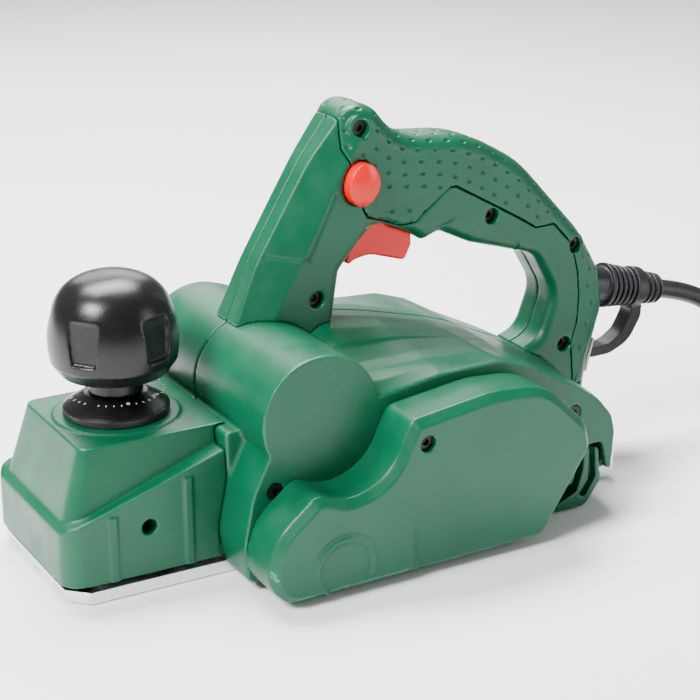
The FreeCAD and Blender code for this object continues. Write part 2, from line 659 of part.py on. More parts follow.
def risen(stations, inset, floor):
    """A shell's solid whose top rises across the tool from outline to outline."""
    wires = []
    for y, share in stations:
        wire = body_outline(share, inset, floor)
        wire.translate(V(0, y, 0))
        wires.append(wire)
    return Part.makeLoft(wires, True, True)


def housing_blocks(inset):
    """The motor housing: the side flange and the crest over the motor."""
    flange_rise = list(FLANGE_RISE)
    crest_rise = list(CREST_RISE)
    flange_rise[0] = (Y_FLANGE + inset, 0.0)
    crest_rise[-1] = (Y_FAR - inset, crest_rise[-1][1])
    flange = risen(flange_rise, inset, FLANGE_Z)
    crest = risen(crest_rise, inset, BODY_Z - 2 * inset)
    return flange.fuse(crest)


def handle_ring(inset):
    """The handle as a ring round its finger gap, narrower at the rear, with square edges."""
    x0 = X_DRUM - 40.0
    x1 = X_TAIL + 40.0
    a = handle_half(x0) - inset
    b = handle_half(x1) - inset
    plan = rounded([(x0, -a, 0), (x1, -b, 0), (x1, b, 0), (x0, a, 0)], "xy")
    ring = slab(handle_outline(inset), -HANDLE_Y - 5.0, HANDLE_Y + 5.0)
    ring = ring.cut(slab(gap_outline(inset), -HANDLE_Y - 6.0, HANDLE_Y + 6.0))
    return ring.common(plate(plan, 0.0, 200.0))


def side_rims(solid, outline):
    """Edges of a slab's two side faces that run along an outline."""
    rims = []
    for edge in solid.Edges:
        ends = [v.Point.y for v in edge.Vertexes]
        at = edge.CenterOfMass
        crosswise = min(ends) * max(ends) < 0
        if not crosswise and outline.distToShape(Part.Vertex(at.x, 0, at.z))[0] < 1.0:
            rims.append(edge)
    return rims


def handle_solid():
    """The handle with its well rounded outer edges and tighter edges round the finger gap."""
    ring = handle_ring(0.0)
    ring = ring.makeFillet(HANDLE_FILLET, side_rims(ring, handle_outline(0.0)))
    return ring.makeFillet(GAP_FILLET, side_rims(ring, gap_outline(0.0)))


def column_bevels(inset):
    """Two wedges that bevel the column's front corners, leaving a flat band down its front."""
    along = V(25.5, 0, 43.0).normalize()
    back = V(along.z, 0, -along.x)
    foot = V(X_DRUM + 5.0, 0, 116.0) - along * 60.0
    wedges = []
    for side in (-1, 1):
        a = foot - back * 8.0 + V(0, side * (1.4 - inset), 0)
        b = foot + back * 19.0 + V(0, side * (HANDLE_Y + 1.0 - inset), 0)
        c = foot - back * 8.0 + V(0, side * (HANDLE_Y + 12.0), 0)
        face = Part.Face(Part.makePolygon([a, b, c, a]))
        wedges.append(face.extrude(along * 170.0))
    return wedges


def apron_outline(grow):
    """Side outline of the raised strip between the front box and the chip duct."""
    g = grow
    side = [
        (X_DRUM - 26.0 - g, BODY_Z - g, 0),
        (X_DRUM - 28.3 - g, 20.0, 12.0),
        (X_DRUM - 24.0 - g, 41.0, 12.0),
        (X_DRUM - 25.0 - g, PLATFORM_Z - 1.0 + g, 2.0),
        (X_DRUM - 10.0, PLATFORM_Z - 1.0 + g, 0),
        (X_DRUM - 10.0, BODY_Z - g, 0),
    ]
    return rounded(side)


def far_bearing_cover():
    """Outline of the boss that covers the drum's far bearing, above the rebating height."""
    boss = [
        (X_DRUM - 22.0, 9.4, 6.0),
        (X_DRUM - 22.0, 36.0, 9.0),
        (X_DRUM - 9.0, 43.4, 9.0),
        (X_DRUM + 22.0, 43.4, 10.0),
        (X_DRUM + 44.0, 32.0, 8.0),
        (X_DRUM + 44.0, 9.4, 6.0),
    ]
    return rounded(boss)


def bulkheads(blocks):
    """Inner walls that carry the stator and the motor's far bearing, and the near bearing's seat."""
    walls = []
    for y0, y1 in ((Y_STATOR[0] + 4.0, Y_STATOR[0] + 7.0), (Y_STATOR[1] - 7.0, Y_STATOR[1] - 4.0),
                   (Y_BEARING_FAR, Y_BEARING_FAR + MOTOR_BEARING["w"])):
        walls.append(box(X_MOTOR - 36.0, X_MOTOR + 38.0, y0, y1, SOLE_T + 2.0, 85.0).common(blocks))
    walls.append(rod_y(X_MOTOR, MOTOR_Z, 14.0, Y_FLANGE, Y_BEARING_NEAR + MOTOR_BEARING["w"]))
    return walls


def housing_whole():
    """The whole shell, hollow and bored, before it is parted; and the solid body without its handle."""
    blocks = housing_blocks(0.0)
    handle = handle_solid().cut(column_bevels(0.0))
    hollow_handle = handle_ring(HANDLE_WALL).cut(column_bevels(HANDLE_WALL))
    boss = slab(far_bearing_cover(), Y_FAR - 1.0, Y_SIDE)
    duct = rod_y(X_DUCT, Z_DUCT, DUCT_R, Y_FLANGE, Y_DUCT_END)
    foot = blocks.fuse([slab(apron_outline(0.0), Y_NEAR, Y_FAR), boss, duct])
    outer = foot.fuse(handle)
    inner_boss = slab(far_bearing_cover().makeOffset2D(-WALL), Y_FAR - 2.0 * WALL, Y_SIDE - WALL)
    under = box(X_DRUM - 30.0, X_TAIL + 1.0, Y_NEAR + WALL, Y_FAR - WALL, BODY_Z - 5.0, BODY_Z + 4.0)
    shell = outer.cut([hollow_handle, housing_blocks(WALL), inner_boss, under])
    tube = tube_y(X_DUCT, Z_DUCT, DUCT_R, DUCT_R - DUCT_WALL, Y_FLANGE, Y_DUCT_END)
    end = rod_y(X_DUCT, Z_DUCT, DUCT_R, Y_FLANGE, Y_FLANGE + DUCT_WALL)
    posts = [rod_y(x, z, HEAD_R + 2.2, -handle_half(x) + 2.0, handle_half(x) - 2.0) for x,
             z in HANDLE_SCREWS]
    posts += [rod_y(x, z, 5.0, Y_FLANGE + 1.0, Y_FLANGE + 8.0) for x, z in FLANGE_SCREWS + [COVER_SCREW]]
    shell = shell.fuse([tube, end] + posts + bulkheads(blocks))
    return shell.cut(housing_cuts()), foot


def housing_cuts():
    """Everything that is bored or cleared in the shells."""
    cuts = [
        rod_y(X_DUCT, Z_DUCT, DUCT_R - DUCT_WALL, Y_NEAR, Y_DUCT_END + 1),
        rod_y(X_DRUM, Z_DRUM, DRUM_ROOM, Y_NEAR - 0.5, Y_FAR + 1.0),
        rod_y(X_DRUM, Z_DRUM, 10.0, Y_FLANGE - 1, Y_NEAR),
        rod_y(X_MOTOR, MOTOR_Z, STATOR_R + 0.05, Y_FAN[0] - 2.0, Y_STATOR[1] + 5.0),
        rod_y(X_MOTOR, MOTOR_Z, COIL_OUT + 1.0, Y_STATOR[1] + 4.0, Y_BEARING_FAR - 1.0),
        rod_y(X_MOTOR, MOTOR_Z, MOTOR_BEARING["r_out"] + 0.03, Y_BEARING_NEAR, Y_NEAR),
        rod_y(X_MOTOR, MOTOR_Z, MOTOR_BEARING["r_out"] + 0.03, Y_BEARING_FAR, Y_FAR - WALL),
        rod_y(X_MOTOR, MOTOR_Z, MOTOR_SHAFT_R + 1.5, Y_FLANGE - 1, Y_NEAR),
        box(X_DRUM - 18.0, BEAM_X[1] + GAP, CHEEK_NEAR[0] - GAP, CHEEK_NEAR[1] + 2, BODY_Z - 1,
            Z_DRUM + 18.0),
        box(X_DRUM - 18.0, BEAM_X[1] + GAP, CHEEK_FAR[0] - 2, CHEEK_FAR[1] + GAP, 9.0, Z_DRUM + 18.0),
        box(BEAM_X[0] - GAP, BEAM_X[1] + GAP, Y_NEAR, Y_FAR, 0.0, 30.0 + GAP),
        box(X_DRUM - 30.0, X_TAIL + 2.0, Y_NEAR - GAP, Y_FAR + 1.0, 0.0, BODY_Z),
        trigger_room(),
        button_room(),
        rest_room(),
    ]
    for x in SOLE_SCREW_X:
        for y in (-SOLE_SCREW_Y, SOLE_SCREW_Y):
            cuts.append(rod_z(x, y, 2.6, 0.0, 13.5))
    for x, z in HANDLE_SCREWS:
        cuts.append(rod_y(x, z, HEAD_R + 0.2, -40.0, -handle_half(x) + 6.0))
        cuts.append(rod_y(x, z, SCREW_R, -40.0, handle_half(x) - 5.0))
    for x, z in FLANGE_SCREWS:
        cuts.append(rod_y(x, z, HEAD_R + 0.2, Y_FLANGE - 1, Y_FLANGE + 2.8))
        cuts.append(rod_y(x, z, SCREW_R, Y_FLANGE - 1, Y_FLANGE + 6.6))
    cuts.append(rod_y(COVER_SCREW[0], COVER_SCREW[1], SCREW_R, Y_FLANGE - 1, Y_FLANGE + 6.6))
    reach = TRIGGER_W / 2 + 5.0
    cuts.append(rod_y(TRIGGER_PIN[0], TRIGGER_PIN[1], PIN_R + 0.02, -reach, reach))
    cuts.append(rod_y(REST_PIN[0], REST_PIN[1], PIN_R + 0.02, Y_FLANGE - 1, Y_NEAR + 3.0))
    bore = Part.makeCylinder(SLEEVE_SEAT_R, 30.0, EXIT - EXIT_DIR * 15.0, EXIT_DIR)
    return cuts + [bore]


def trigger_room():
    half = TRIGGER_W / 2 + GAP
    return box(X_DRUM + 46.5, X_DRUM + 84.0, -half, half, 100.0, 136.0)


def oval(long_r, short_r):
    """Oval outline round the lock button's axis, leaning with the column."""
    at = V(BUTTON_X, 0, BUTTON_Z)
    ring = Part.Wire(Part.Ellipse(at, long_r, short_r).toShape())
    ring.rotate(at, V(1, 0, 0), 90)
    ring.rotate(at, V(0, 1, 0), BUTTON_LEAN - 90)
    return ring


def button_room():
    return slab(oval(BUTTON_LONG + 0.6, BUTTON_SHORT + 0.5), -40.0, 0.0)


def rest_room():
    """Clear space in the flange's rear foot for the parking rest to swing in."""
    x, z = REST_PIN
    room = [
        (x - 20.0, -5.0, 0),
        (x - 20.0, 9.5, 2.0),
        (x - 9.5, 13.0, 3.0),
        (x - 6.0, z + 7.0, 3.0),
        (x + 5.0, z + 7.0, 3.0),
        (x + 8.0, 16.2, 2.0),
        (x + 25.0, 16.2, 0),
        (x + 25.0, -5.0, 0),
    ]
    return slab(rounded(room), Y_FLANGE - 1.0, Y_NEAR - 1.0)


SLEEVE_SEAT_R = 8.6
GRIP_SEAM = [  # where the grip cover meets the clamshells, from the crown to the rear foot
    (X_DRUM + 46.0, 195.0),
    (X_DRUM + 44.5, 163.0),
    (X_DRUM + 50.0, 152.0),
    (X_DRUM + 53.7, 137.0),
    (X_DRUM + 56.0, 133.2),
    (X_DRUM + 73.0, 126.9),
    (X_DRUM + 79.5, 127.6),
    (X_DRUM + 97.0, 140.3),
    (X_DRUM + 100.5, 140.4),
    (X_TAIL - 39.5, 122.7),
    (X_TAIL - 27.5, 115.4),
    (X_TAIL - 17.5, 115.7),
    (X_TAIL - 7.0, 104.5),
    (X_TAIL - 3.2, 90.5),
    (X_TAIL - 2.0, 78.4),
    (X_TAIL - 2.6, 66.4),
    (X_TAIL - 5.5, 57.0),
    (X_TAIL - 3.5, 36.0),
]


def grip_side(shift):
    """Everything above and behind the grip seam, moved along by a shift."""
    spots = [V(x + shift, -30.0, z + shift) for x, z in GRIP_SEAM]
    spots += [V(X_TAIL + 60.0, -30.0, 36.0 + shift), V(X_TAIL + 60.0, -30.0, 195.0 + shift)]
    return Part.Face(Part.makePolygon(spots + [spots[0]])).extrude(V(0, 60.0, 0))


def housing_parts():
    """The grip cover, the two halves of the handle's frame and the two halves of the body."""
    shell, foot = housing_whole()
    grip = shell.common(grip_side(SEAM / 2))
    rest = shell.cut(grip_side(-SEAM / 2))
    near = box(-300.0, 300.0, -300.0, -SEAM / 4, -50.0, 300.0)
    far = box(-300.0, 300.0, SEAM / 4, 300.0, -50.0, 300.0)
    frame = rest.cut(foot)
    body = rest.common(foot)
    pieces = {
        "grip_cover": grip,
        "handle_left": frame.common(near),
        "handle_right": frame.common(far),
        "housing_left": body.common(near),
        "housing_right": body.common(far),
    }
    return {name: max(piece.Solids, key=lambda solid: solid.Volume) for name, piece in pieces.items()}


# ---- front housing and depth adjuster ----------------------------------------------------
LEDGE_RISE = 0.31         # slope of the ledge
LEDGE_FRONT_Z = 33.0
SLEEVE_LEN = 37.0


def ledge_z(x):
    return LEDGE_FRONT_Z + (x - X_NOSE) * LEDGE_RISE


def front_block(inset):
    """The ledge block and the tapered platform block as one solid."""
    d = inset
    x0 = X_NOSE - 1.5 + d
    x1 = X_DRUM - 20.0
    side = [(x0, BODY_Z - 2 * d, 0), (x0, ledge_z(x0) - 3.0 - d, 2.0), (x0 + 2.5, ledge_z(x0) - d, 2.0)]
    side += [(x1, ledge_z(x1) - d, 0), (x1, BODY_Z - 2 * d, 0)]
    lower = slab(rounded(side), -BOX_Y + d, BOX_Y - d)
    y = BOX_Y - d
    plan = rounded([(x0, -y, 9.0), (x1, -y, 0), (x1, y, 0), (x0, y, 9.0)], "xy")
    lower = lower.common(plate(plan, 0.0, 100.0))
    y = BOX_Y - 2.6 - d
    foot = rounded([(x0 + 0.6, -y, 9.0), (x1, -y, 0), (x1, y, 0), (x0 + 0.6, y, 9.0)], "xy")
    foot.translate(V(0, 0, LEDGE_FRONT_Z - 8.0))
    y = BOX_Y - 9.0 - d
    head = rounded([(X_NOSE + 10.5 + d, -y, 5.0), (x1, -y, 0), (x1, y, 0),
                    (X_NOSE + 10.5 + d, y, 5.0)], "xy")
    head.translate(V(0, 0, PLATFORM_Z - d))
    upper = Part.makeLoft([foot, head], True, True)
    return lower.fuse(upper).removeSplitter()


def front_housing():
    """Front housing with the spindle's column, the guide sockets and the fence's threaded boss."""
    outer = front_block(0.0)
    shell = outer.cut(front_block(BOX_WALL))
    column = rod_z(X_KNOB, 0, 12.5, BOSS_Z + 8.0, PLATFORM_Z - 0.5)
    sockets = [rod_z(GUIDE_X, y, GUIDE_R + 3.0, 16.0, PLATFORM_Z - 1.0) for y in (-GUIDE_Y, GUIDE_Y)]
    fence = rod_y(GUIDE_HOLE[0], GUIDE_HOLE[1], GUIDE_HOLE_R + 3.5, -BOX_Y + 1.0,
                  -BOX_Y + GUIDE_HOLE_LEN + 2.0)
    inside = joined([column, fence] + sockets).common(outer)
    step = rod_z(X_KNOB, 0, 26.0, PLATFORM_Z - 1.0, PLATFORM_Z + 1.0)
    ribs = []
    for x0, x1 in ((X_NOSE + 17.5, X_NOSE + 20.5), (X_NOSE + 50.5, X_NOSE + 53.5)):
        for side in (-1, 1):
            y = side * BOX_Y
            ribs.append(box(x0, x1, y - 0.6, y + 0.6, BODY_Z, ledge_z(x0) - 3.5))
    shell = shell.fuse([inside, step] + ribs).removeSplitter()
    shell = shell.cut(rod_z(X_KNOB, 0, SPINDLE_R + RUN, BOSS_Z, PLATFORM_Z + 2.0))
    for y in (-GUIDE_Y, GUIDE_Y):
        shell = shell.cut(rod_z(GUIDE_X, y, GUIDE_R + RUN, 10.0, 37.0))
    shell = shell.cut(rod_y(GUIDE_HOLE[0], GUIDE_HOLE[1], GUIDE_HOLE_R, -BOX_Y - 1, -BOX_Y + GUIDE_HOLE_LEN))
    shell = shell.cut(slab(apron_outline(GAP), Y_NEAR - 1, Y_FAR + 1))
    shell = shell.cut(slab(body_outline(0.0, -GAP, FLANGE_Z), Y_FLANGE, Y_NEAR + 2.0 + GAP))
    shell = shell.cut(rod_y(X_DUCT, Z_DUCT, DUCT_R + GAP, Y_NEAR - 1, Y_FAR + 1))
    return max(shell.Solids, key=lambda solid: solid.Volume)


def dial_ring():
    """Flange and cone of the depth scale."""
    z = PLATFORM_Z + 1.0 + GAP
    profile = [(SPINDLE_R, z), (DIAL_R, z), (DIAL_R, z + 2.6), (DIAL_R - 1.2, z + 3.6)]
    profile += [(13.0, z + 8.6), (11.4, z + 9.0), (SPINDLE_R, z + 9.0)]
    return turned(profile, V(X_KNOB, 0, 0))


def depth_knob():
    """Domed knob on a round neck, with five flat grip facets."""
    z = PLATFORM_Z + 10.0 + GAP
    dome = [V(26.0, 0, z + 14.0), V(KNOB_R, 0, z + 19.5), V(25.4, 0, z + 33.0), V(19.5, 0, z + 44.0)]
    dome += [V(9.0, 0, z + 49.4), V(0, 0, z + 50.4)]
    curve = Part.BSplineCurve()
    curve.interpolate(dome)
    under = [V(0, 0, z + 50.4), V(0, 0, z), V(11.35, 0, z), V(11.35, 0, z + 5.8), V(15.0, 0, z + 7.2)]
    under += [V(22.0, 0, z + 8.4), V(26.0, 0, z + 14.0)]
    wire = Part.Wire(Part.__sortEdges__([curve.toShape()] + Part.makePolygon(under).Edges))
    knob = Part.Face(wire).revolve(V(0, 0, 0), V(0, 0, 1), 360)
    for i in range(5):
        facet = [(-7.2, z + 36.0, 1.0), (7.2, z + 36.0, 1.0), (5.3, z + 18.0, 1.0), (-5.3, z + 18.0, 1.0)]
        cutter = beam(rounded(facet, "yz"), KNOB_R - 2.0, KNOB_R + 5.0)
        cutter = cutter.rotated(V(KNOB_R, 0, z + 18.0), V(0, 1, 0), -3.0)
        knob = knob.cut(cutter.rotated(V(0, 0, 0), V(0, 0, 1), -140.4 + 72.0 * i))
    knob.translate(V(X_KNOB, 0, 0))
    return knob.cut(rod_z(X_KNOB, 0, SPINDLE_R, z - 1.0, z + 20.0))


def depth_spindle():
    return rod_z(X_KNOB, 0, SPINDLE_R, SHOE_T + 2.6 + DEPTH_MAX, PLATFORM_Z + 30.0)


def shoe_spring():
    """Compression spring that takes up the play of the shoe's thread."""
    length = BOSS_Z + 8.0 - SHOE_T - 2.4
    return coil_spring(V(X_KNOB, 0, SHOE_T + 1.2), V(0, 0, 1), BOSS_R + 2.2, 0.9, length, 6)


# ---- belt cover, chip outlet and parking rest ---------------------------------------------
def belt_cover():
    """Tub over the belt drive, with a chamfered face and a lower zone that slants back."""
    outer = slab(cover_outline(0.0), Y_COVER, Y_FLANGE - 0.2)
    face_rim = [e for e in outer.Edges if max(v.Point.y for v in e.Vertexes) < Y_COVER + 0.1]
    outer = outer.makeChamfer(COVER_CHAMFER, face_rim)
    inner = slab(cover_outline(COVER_WALL), Y_COVER + COVER_WALL + 1.6, Y_FLANGE + 1.0)
    shell = outer.cut(inner)
    x, z = COVER_SCREW
    shell = shell.fuse(rod_y(x, z, 5.6, Y_COVER + 1.0, Y_FLANGE - 0.2))
    shell = shell.cut(rod_y(x, z, HEAD_R + 0.2, Y_COVER - 1, Y_COVER + 5.0))
    shell = shell.cut(rod_y(x, z, SCREW_R, Y_COVER, Y_FLANGE + 1.0))
    slant = rounded([(Y_COVER - 2.0, 38.0, 0), (Y_COVER, 34.5, 6.0), (Y_COVER + 1.9, 0.0, 0),
                     (Y_COVER - 2.0, 0.0, 0)], "yz")
    lower = beam(slant, X_DRUM + 36.0, X_DRUM + 140.0)
    shell = shell.cut(lower)
    hub_x = X_DRUM + 5.0
    hub_z = 13.4
    ring = tube_y(hub_x, hub_z, 13.2, 12.0, Y_COVER - 0.6, Y_COVER + 0.5)
    notch = Part.makePolygon([V(hub_x, 0, hub_z), V(hub_x + 3.0, 0, hub_z - 20.0),
                              V(hub_x + 13.0, 0, hub_z - 20.0),
                              V(hub_x + 17.0, 0, hub_z - 7.0), V(hub_x, 0, hub_z)])
    ring = ring.cut(slab(notch, Y_COVER - 2, Y_COVER + 2)).common(slab(cover_outline(1.5),
                                                                       Y_COVER - 2, Y_COVER + 2))
    return shell.fuse(ring)


def pan_screw(head_y, tip_y, x, z):
    """Pan-head screw with a six-sided socket, pointing along +Y."""
    screw = rod_y(x, z, HEAD_R, head_y,
                  head_y + HEAD_H).fuse(rod_y(x, z, SCREW_R - 0.05, head_y + HEAD_H, tip_y))
    socket = Part.makePolygon([V(x + 1.7 * math.cos(a * math.pi / 3), 0, z + 1.7 * math.sin(a * math.pi / 3))
                               for a in range(7)])
    return screw.cut(slab(socket, head_y - 1.0, head_y + 1.4))


def chip_outlet_collar():
    """Turned collar in the duct's far end; its bore takes a vacuum hose."""
    y0 = Y_DUCT - OUTLET_LEN
    collar = rod_y(X_DUCT, Z_DUCT, DUCT_R - DUCT_WALL - 0.05, y0, Y_DUCT_END + 0.1)
    rim = rod_y(X_DUCT, Z_DUCT, DUCT_R - 1.6, Y_DUCT_END + 0.1, Y_DUCT)
    rim = rim.makeFillet(1.6, [e for e in rim.Edges if min(v.Point.y for v in e.Vertexes) > Y_DUCT - 0.1])
    return collar.fuse(rim).removeSplitter().cut(rod_y(X_DUCT, Z_DUCT, OUTLET_R, y0 - 1, Y_DUCT + 1))


def parking_rest():
    """Swinging foot that keeps the rear of the sole off the bench, with a U groove."""
    x, z = REST_PIN
    outline = [
        (x - 4.0, z + 5.0, 3.0),
        (x + 3.6, z + 5.0, 3.0),
        (x + 4.6, z - 6.0, 10.0),
        (x + 5.8, z - 11.0, 5.0),
        (x - 2.6, 0.7, 5.0),
        (x - 17.6, 0.7, 1.0),
        (x - 17.6, 4.0, 1.0),
        (x - 7.0, 8.5, 4.0),
        (x - 4.4, 18.0, 6.0),
    ]
    foot = slab(rounded(outline), REST_Y[0], REST_Y[1])
    groove = [(x - 1.2, z + 7.0, 0), (x + 1.4, z + 7.0, 0), (x + 2.6, z - 9.5, 2.5), (x - 3.0, 4.5, 1.7)]
    groove += [(x - 6.0, 6.5, 1.1), (x - 1.4, z - 10.0, 2.0)]
    foot = foot.cut(slab(rounded(groove), REST_Y[0] - 1.0, REST_Y[0] + 4.0))
    return foot.cut(rod_y(x, z, PIN_R + RUN, REST_Y[0] - 1.0, REST_Y[1] + 1.0))


def parking_pin():
    return rod_y(REST_PIN[0], REST_PIN[1], PIN_R, REST_Y[0] + 4.2, Y_NEAR + 2.0)


# ---- switch gear in the handle ------------------------------------------------------------
def trigger():
    x, z = TRIGGER_PIN
    outline = [
        (x - 7.2, z - 19.0, 1.4),
        (x - 5.6, z - 12.0, 6.0),
        (x - 4.0, z + 3.2, 3.0),
        (x + 11.5, z + 3.2, 2.0),
        (x + 13.0, z - 2.4, 2.0),
        (x + 25.6, z - 7.6, 1.5),
        (x + 25.9, z - 13.0, 1.5),
        (x + 22.6, z - 20.0, 2.2),
        (x + 5.0, z - 14.6, 14.0),
        (x - 2.2, z - 16.0, 3.0),
    ]
    body = slab(rounded(outline), -TRIGGER_W / 2, TRIGGER_W / 2)
    sides = [e for e in body.Edges if abs(e.CenterOfMass.y) > TRIGGER_W / 2 - 0.1]
    rims = [e for e in sides if e.CenterOfMass.z < z - 6.0]
    body = body.makeFillet(1.0, rims)
    return body.cut(rod_y(x, z, PIN_R + RUN, -TRIGGER_W, TRIGGER_W))


def trigger_pin():
    reach = TRIGGER_W / 2 + 4.8
    return rod_y(TRIGGER_PIN[0], TRIGGER_PIN[1], PIN_R, -reach, reach)


SWITCH_Z = 141.0


def trigger_spring():
    base = TRIGGER_PIN[1] + 3.2 + 0.6
    return coil_spring(V(TRIGGER_PIN[0] + 8.0, 0, base), V(0, 0, 1), 2.6, 0.45, SWITCH_Z - base - 0.5, 5)


def switch_body():
    """Snap switch above the trigger with its two rows of terminals."""
    x0 = TRIGGER_PIN[0] + 7.5 - 4.0
    body = box(x0, x0 + 30.0, -6.2, 6.2, SWITCH_Z, SWITCH_Z + 15.0)
    for i in range(2):
        for y in (-4.0, 4.0):
            body = body.fuse(box(x0 + 30.0, x0 + 35.0, y - 2.0, y + 2.0, SWITCH_Z + 3.0 + 7.0 * i,
                                 SWITCH_Z + 4.0 + 7.0 * i))
    return body


def capacitor():
    """Interference capacitor, lying along the front column."""
    return Part.makeCylinder(6.0, 24.0, V(X_DRUM + 20.5, 0, 108.0), V(25.5, 0, 43.0))


def lock_button():
    """Oval lock-on button with a domed face, a retaining flange and a short stem."""
    side = -handle_half(BUTTON_X)
    cap = slab(oval(BUTTON_LONG, BUTTON_SHORT), side - 6.4, side + HANDLE_WALL + 1.0)
    dome = Part.makeSphere(24.0, V(BUTTON_X, side - 6.4 + 24.0, BUTTON_Z))
    cap = cap.common(dome.fuse(box(BUTTON_X - 20, BUTTON_X + 20, side - 3.5, side + 10,
                                   BUTTON_Z - 20, BUTTON_Z + 20)))
    flange = slab(oval(BUTTON_LONG + 1.4, BUTTON_SHORT + 1.4), side + HANDLE_WALL + 0.5,
                  side + HANDLE_WALL + 1.9)
    stem = rod_y(BUTTON_X, BUTTON_Z, 3.0, side + HANDLE_WALL + 1.0, side + HANDLE_WALL + 5.6)
    return joined([cap, flange, stem])


# ---- mains cord --------------------------------------------------------------------------
CORD_R = CORD_D / 2
SLEEVE_END = EXIT + EXIT_DIR * SLEEVE_LEN
COIL_W = 29.8             # three cords wide
COIL_H = 27.0
COIL_R = 54.2
COIL_AT = V(230.0, -COIL_R, 1.1 + COIL_H / 2)
CORD_ROUTE = [SLEEVE_END, SLEEVE_END + EXIT_DIR * 19.5, V(171.0, 0.3, 54.6), V(188.0, 0.7, 40.4),
              V(208.5, 0.4, 28.3), V(230.5, -0.2, 24.1)]
TAIL_ROUTE = [V(232.0, -117.9, 6.0), V(214.0, -119.3, 6.6), V(198.0, -121.7, 9.2), V(184.5, -122.8, 12.6),
              V(171.0, -122.8, 12.6)]
PLUG_LEN = 40.0


def cord_piece(points, name):
    """A round cord through hand-chosen points: straight runs joined by tangent arcs."""
    edges = []
    here = points[0]
    radii = []
    for before, at, after in zip(points, points[1:], points[2:]):
        shorter = min((at - before).Length, (after - at).Length)
        half = (at - before).getAngle(after - at) / 2
        radius = 0.45 * shorter / math.tan(half)
        start, peak, end = corner(before, at, after, radius)
        edges.append(Part.LineSegment(here, start).toShape())
        edges.append(Part.Arc(start, peak, end).toShape())
        here = end
        radii.append(round(radius, 1))
    edges.append(Part.LineSegment(here, points[-1]).toShape())
    spine = Part.Wire(edges)
    print(name, "radii", radii, "length", round(spine.Length, 1))
    ring = Part.Wire(Part.makeCircle(CORD_R, points[0], points[1] - points[0]))
    tube = spine.makePipeShell([ring], True, True)
    print(name, "volume over section x length",
          round(tube.Volume / (math.pi * CORD_R ** 2 * spine.Length), 4))
    return tube


def strain_relief():
    """Tapered rubber sleeve: a seat in the handle, ribs, a neck for the loop, more ribs."""
    profile = [(0.0, -7.0), (SLEEVE_SEAT_R - 0.1, -7.0), (SLEEVE_SEAT_R - 0.1, 4.6), (10.6, 4.6),
               (10.6, 6.8)]
    for i in range(4):
        s = 6.8 + 3.2 * i
        r = 10.2 - 0.35 * i
        profile += [(r - 2.2, s), (r - 2.2, s + 1.4), (r, s + 1.4), (r, s + 3.2)]
    profile += [(7.6, 19.8), (7.6, 26.0)]
    for i in range(3):
        s = 26.0 + 3.4 * i
        r = 8.2 - 0.3 * i
        profile += [(r, s), (r, s + 1.8), (r - 1.6, s + 1.8), (r - 1.6, s + 3.4)]
    profile += [(7.3, 36.2), (7.3, SLEEVE_LEN), (0.0, SLEEVE_LEN)]
    return turned(profile, EXIT, EXIT_DIR)


def cord_loop():
    """Moulded loop from a collar on the sleeve down to the handle."""
    ring = Part.makeCylinder(9.8, 5.4, EXIT + EXIT_DIR * 20.2, EXIT_DIR)
    ring = ring.cut(Part.makeCylinder(7.7, 7.0, EXIT + EXIT_DIR * 19.4, EXIT_DIR))
    arm = [
        (EXIT.x + 26.3, EXIT.z - 8.9, 0),
        (EXIT.x + 25.9, EXIT.z - 18.4, 8.0),
        (EXIT.x + 19.3, EXIT.z - 29.8, 14.0),
        (EXIT.x + 8.3, EXIT.z - 34.6, 14.0),
        (EXIT.x - 3.7, EXIT.z - 34.8, 1.5),
        (EXIT.x - 2.5, EXIT.z - 30.0, 1.5),
        (EXIT.x + 7.8, EXIT.z - 29.8, 9.0),
        (EXIT.x + 15.3, EXIT.z - 24.9, 10.0),
        (EXIT.x + 19.9, EXIT.z - 16.4, 8.0),
        (EXIT.x + 20.3, EXIT.z - 7.4, 0),
    ]
    band = slab(rounded(arm), -4.5, 4.5)
    keep = Part.makeCylinder(8.5, 30.0, EXIT + EXIT_DIR * 10.0, EXIT_DIR)
    return ring.fuse(band.cut(keep)).removeSplitter()


def loop_plate():
    """Thin plate under the loop's foot."""
    x = EXIT.x
    z = EXIT.z
    points = [(x - 7.8, z - 39.9, 0), (x - 6.2, z - 32.2, 0), (x - 3.5, z - 24.2, 0), (x - 2.7, z - 24.4, 0)]
    points += [(x - 4.7, z - 32.4, 0), (x - 6.5, z - 40.2, 0)]
    return slab(rounded(points), -6.5, 6.5)


def cord_coil():
    """The rest of the cord as one neat round coil."""
    half = COIL_W / 2
    tall = COIL_H / 2
    section = rounded([(COIL_R - half, -tall, 8.0), (COIL_R + half, -tall, 8.0), (COIL_R + half, tall, 8.0),
                       (COIL_R - half, tall, 8.0)])
    ring = Part.Face(section).revolve(V(0, 0, 0), V(0, 0, 1), 360)
    ring.translate(COIL_AT)
    return ring


def cord_tie():
    """Flat band round the coil."""
    half = COIL_W / 2
    tall = COIL_H / 2
    outer = rounded([(COIL_R - half - 1.5, -tall - 1.4, 9.0), (COIL_R + half + 1.5, -tall - 1.4, 9.0),
                     (COIL_R + half + 1.5, tall + 1.4, 9.0), (COIL_R - half - 1.5, tall + 1.4, 9.0)])
    band = slab(outer, -4.5, 4.5)
    inner = rounded([(COIL_R - half - 0.6, -tall - 0.2, 8.0), (COIL_R + half + 0.4, -tall - 0.2, 8.0),
                     (COIL_R + half + 0.4, tall + 0.2, 8.0), (COIL_R - half - 0.6, tall + 0.2, 8.0)])
    band = band.cut(slab(inner, -5.5, 5.5))
    band.translate(COIL_AT)
    return band


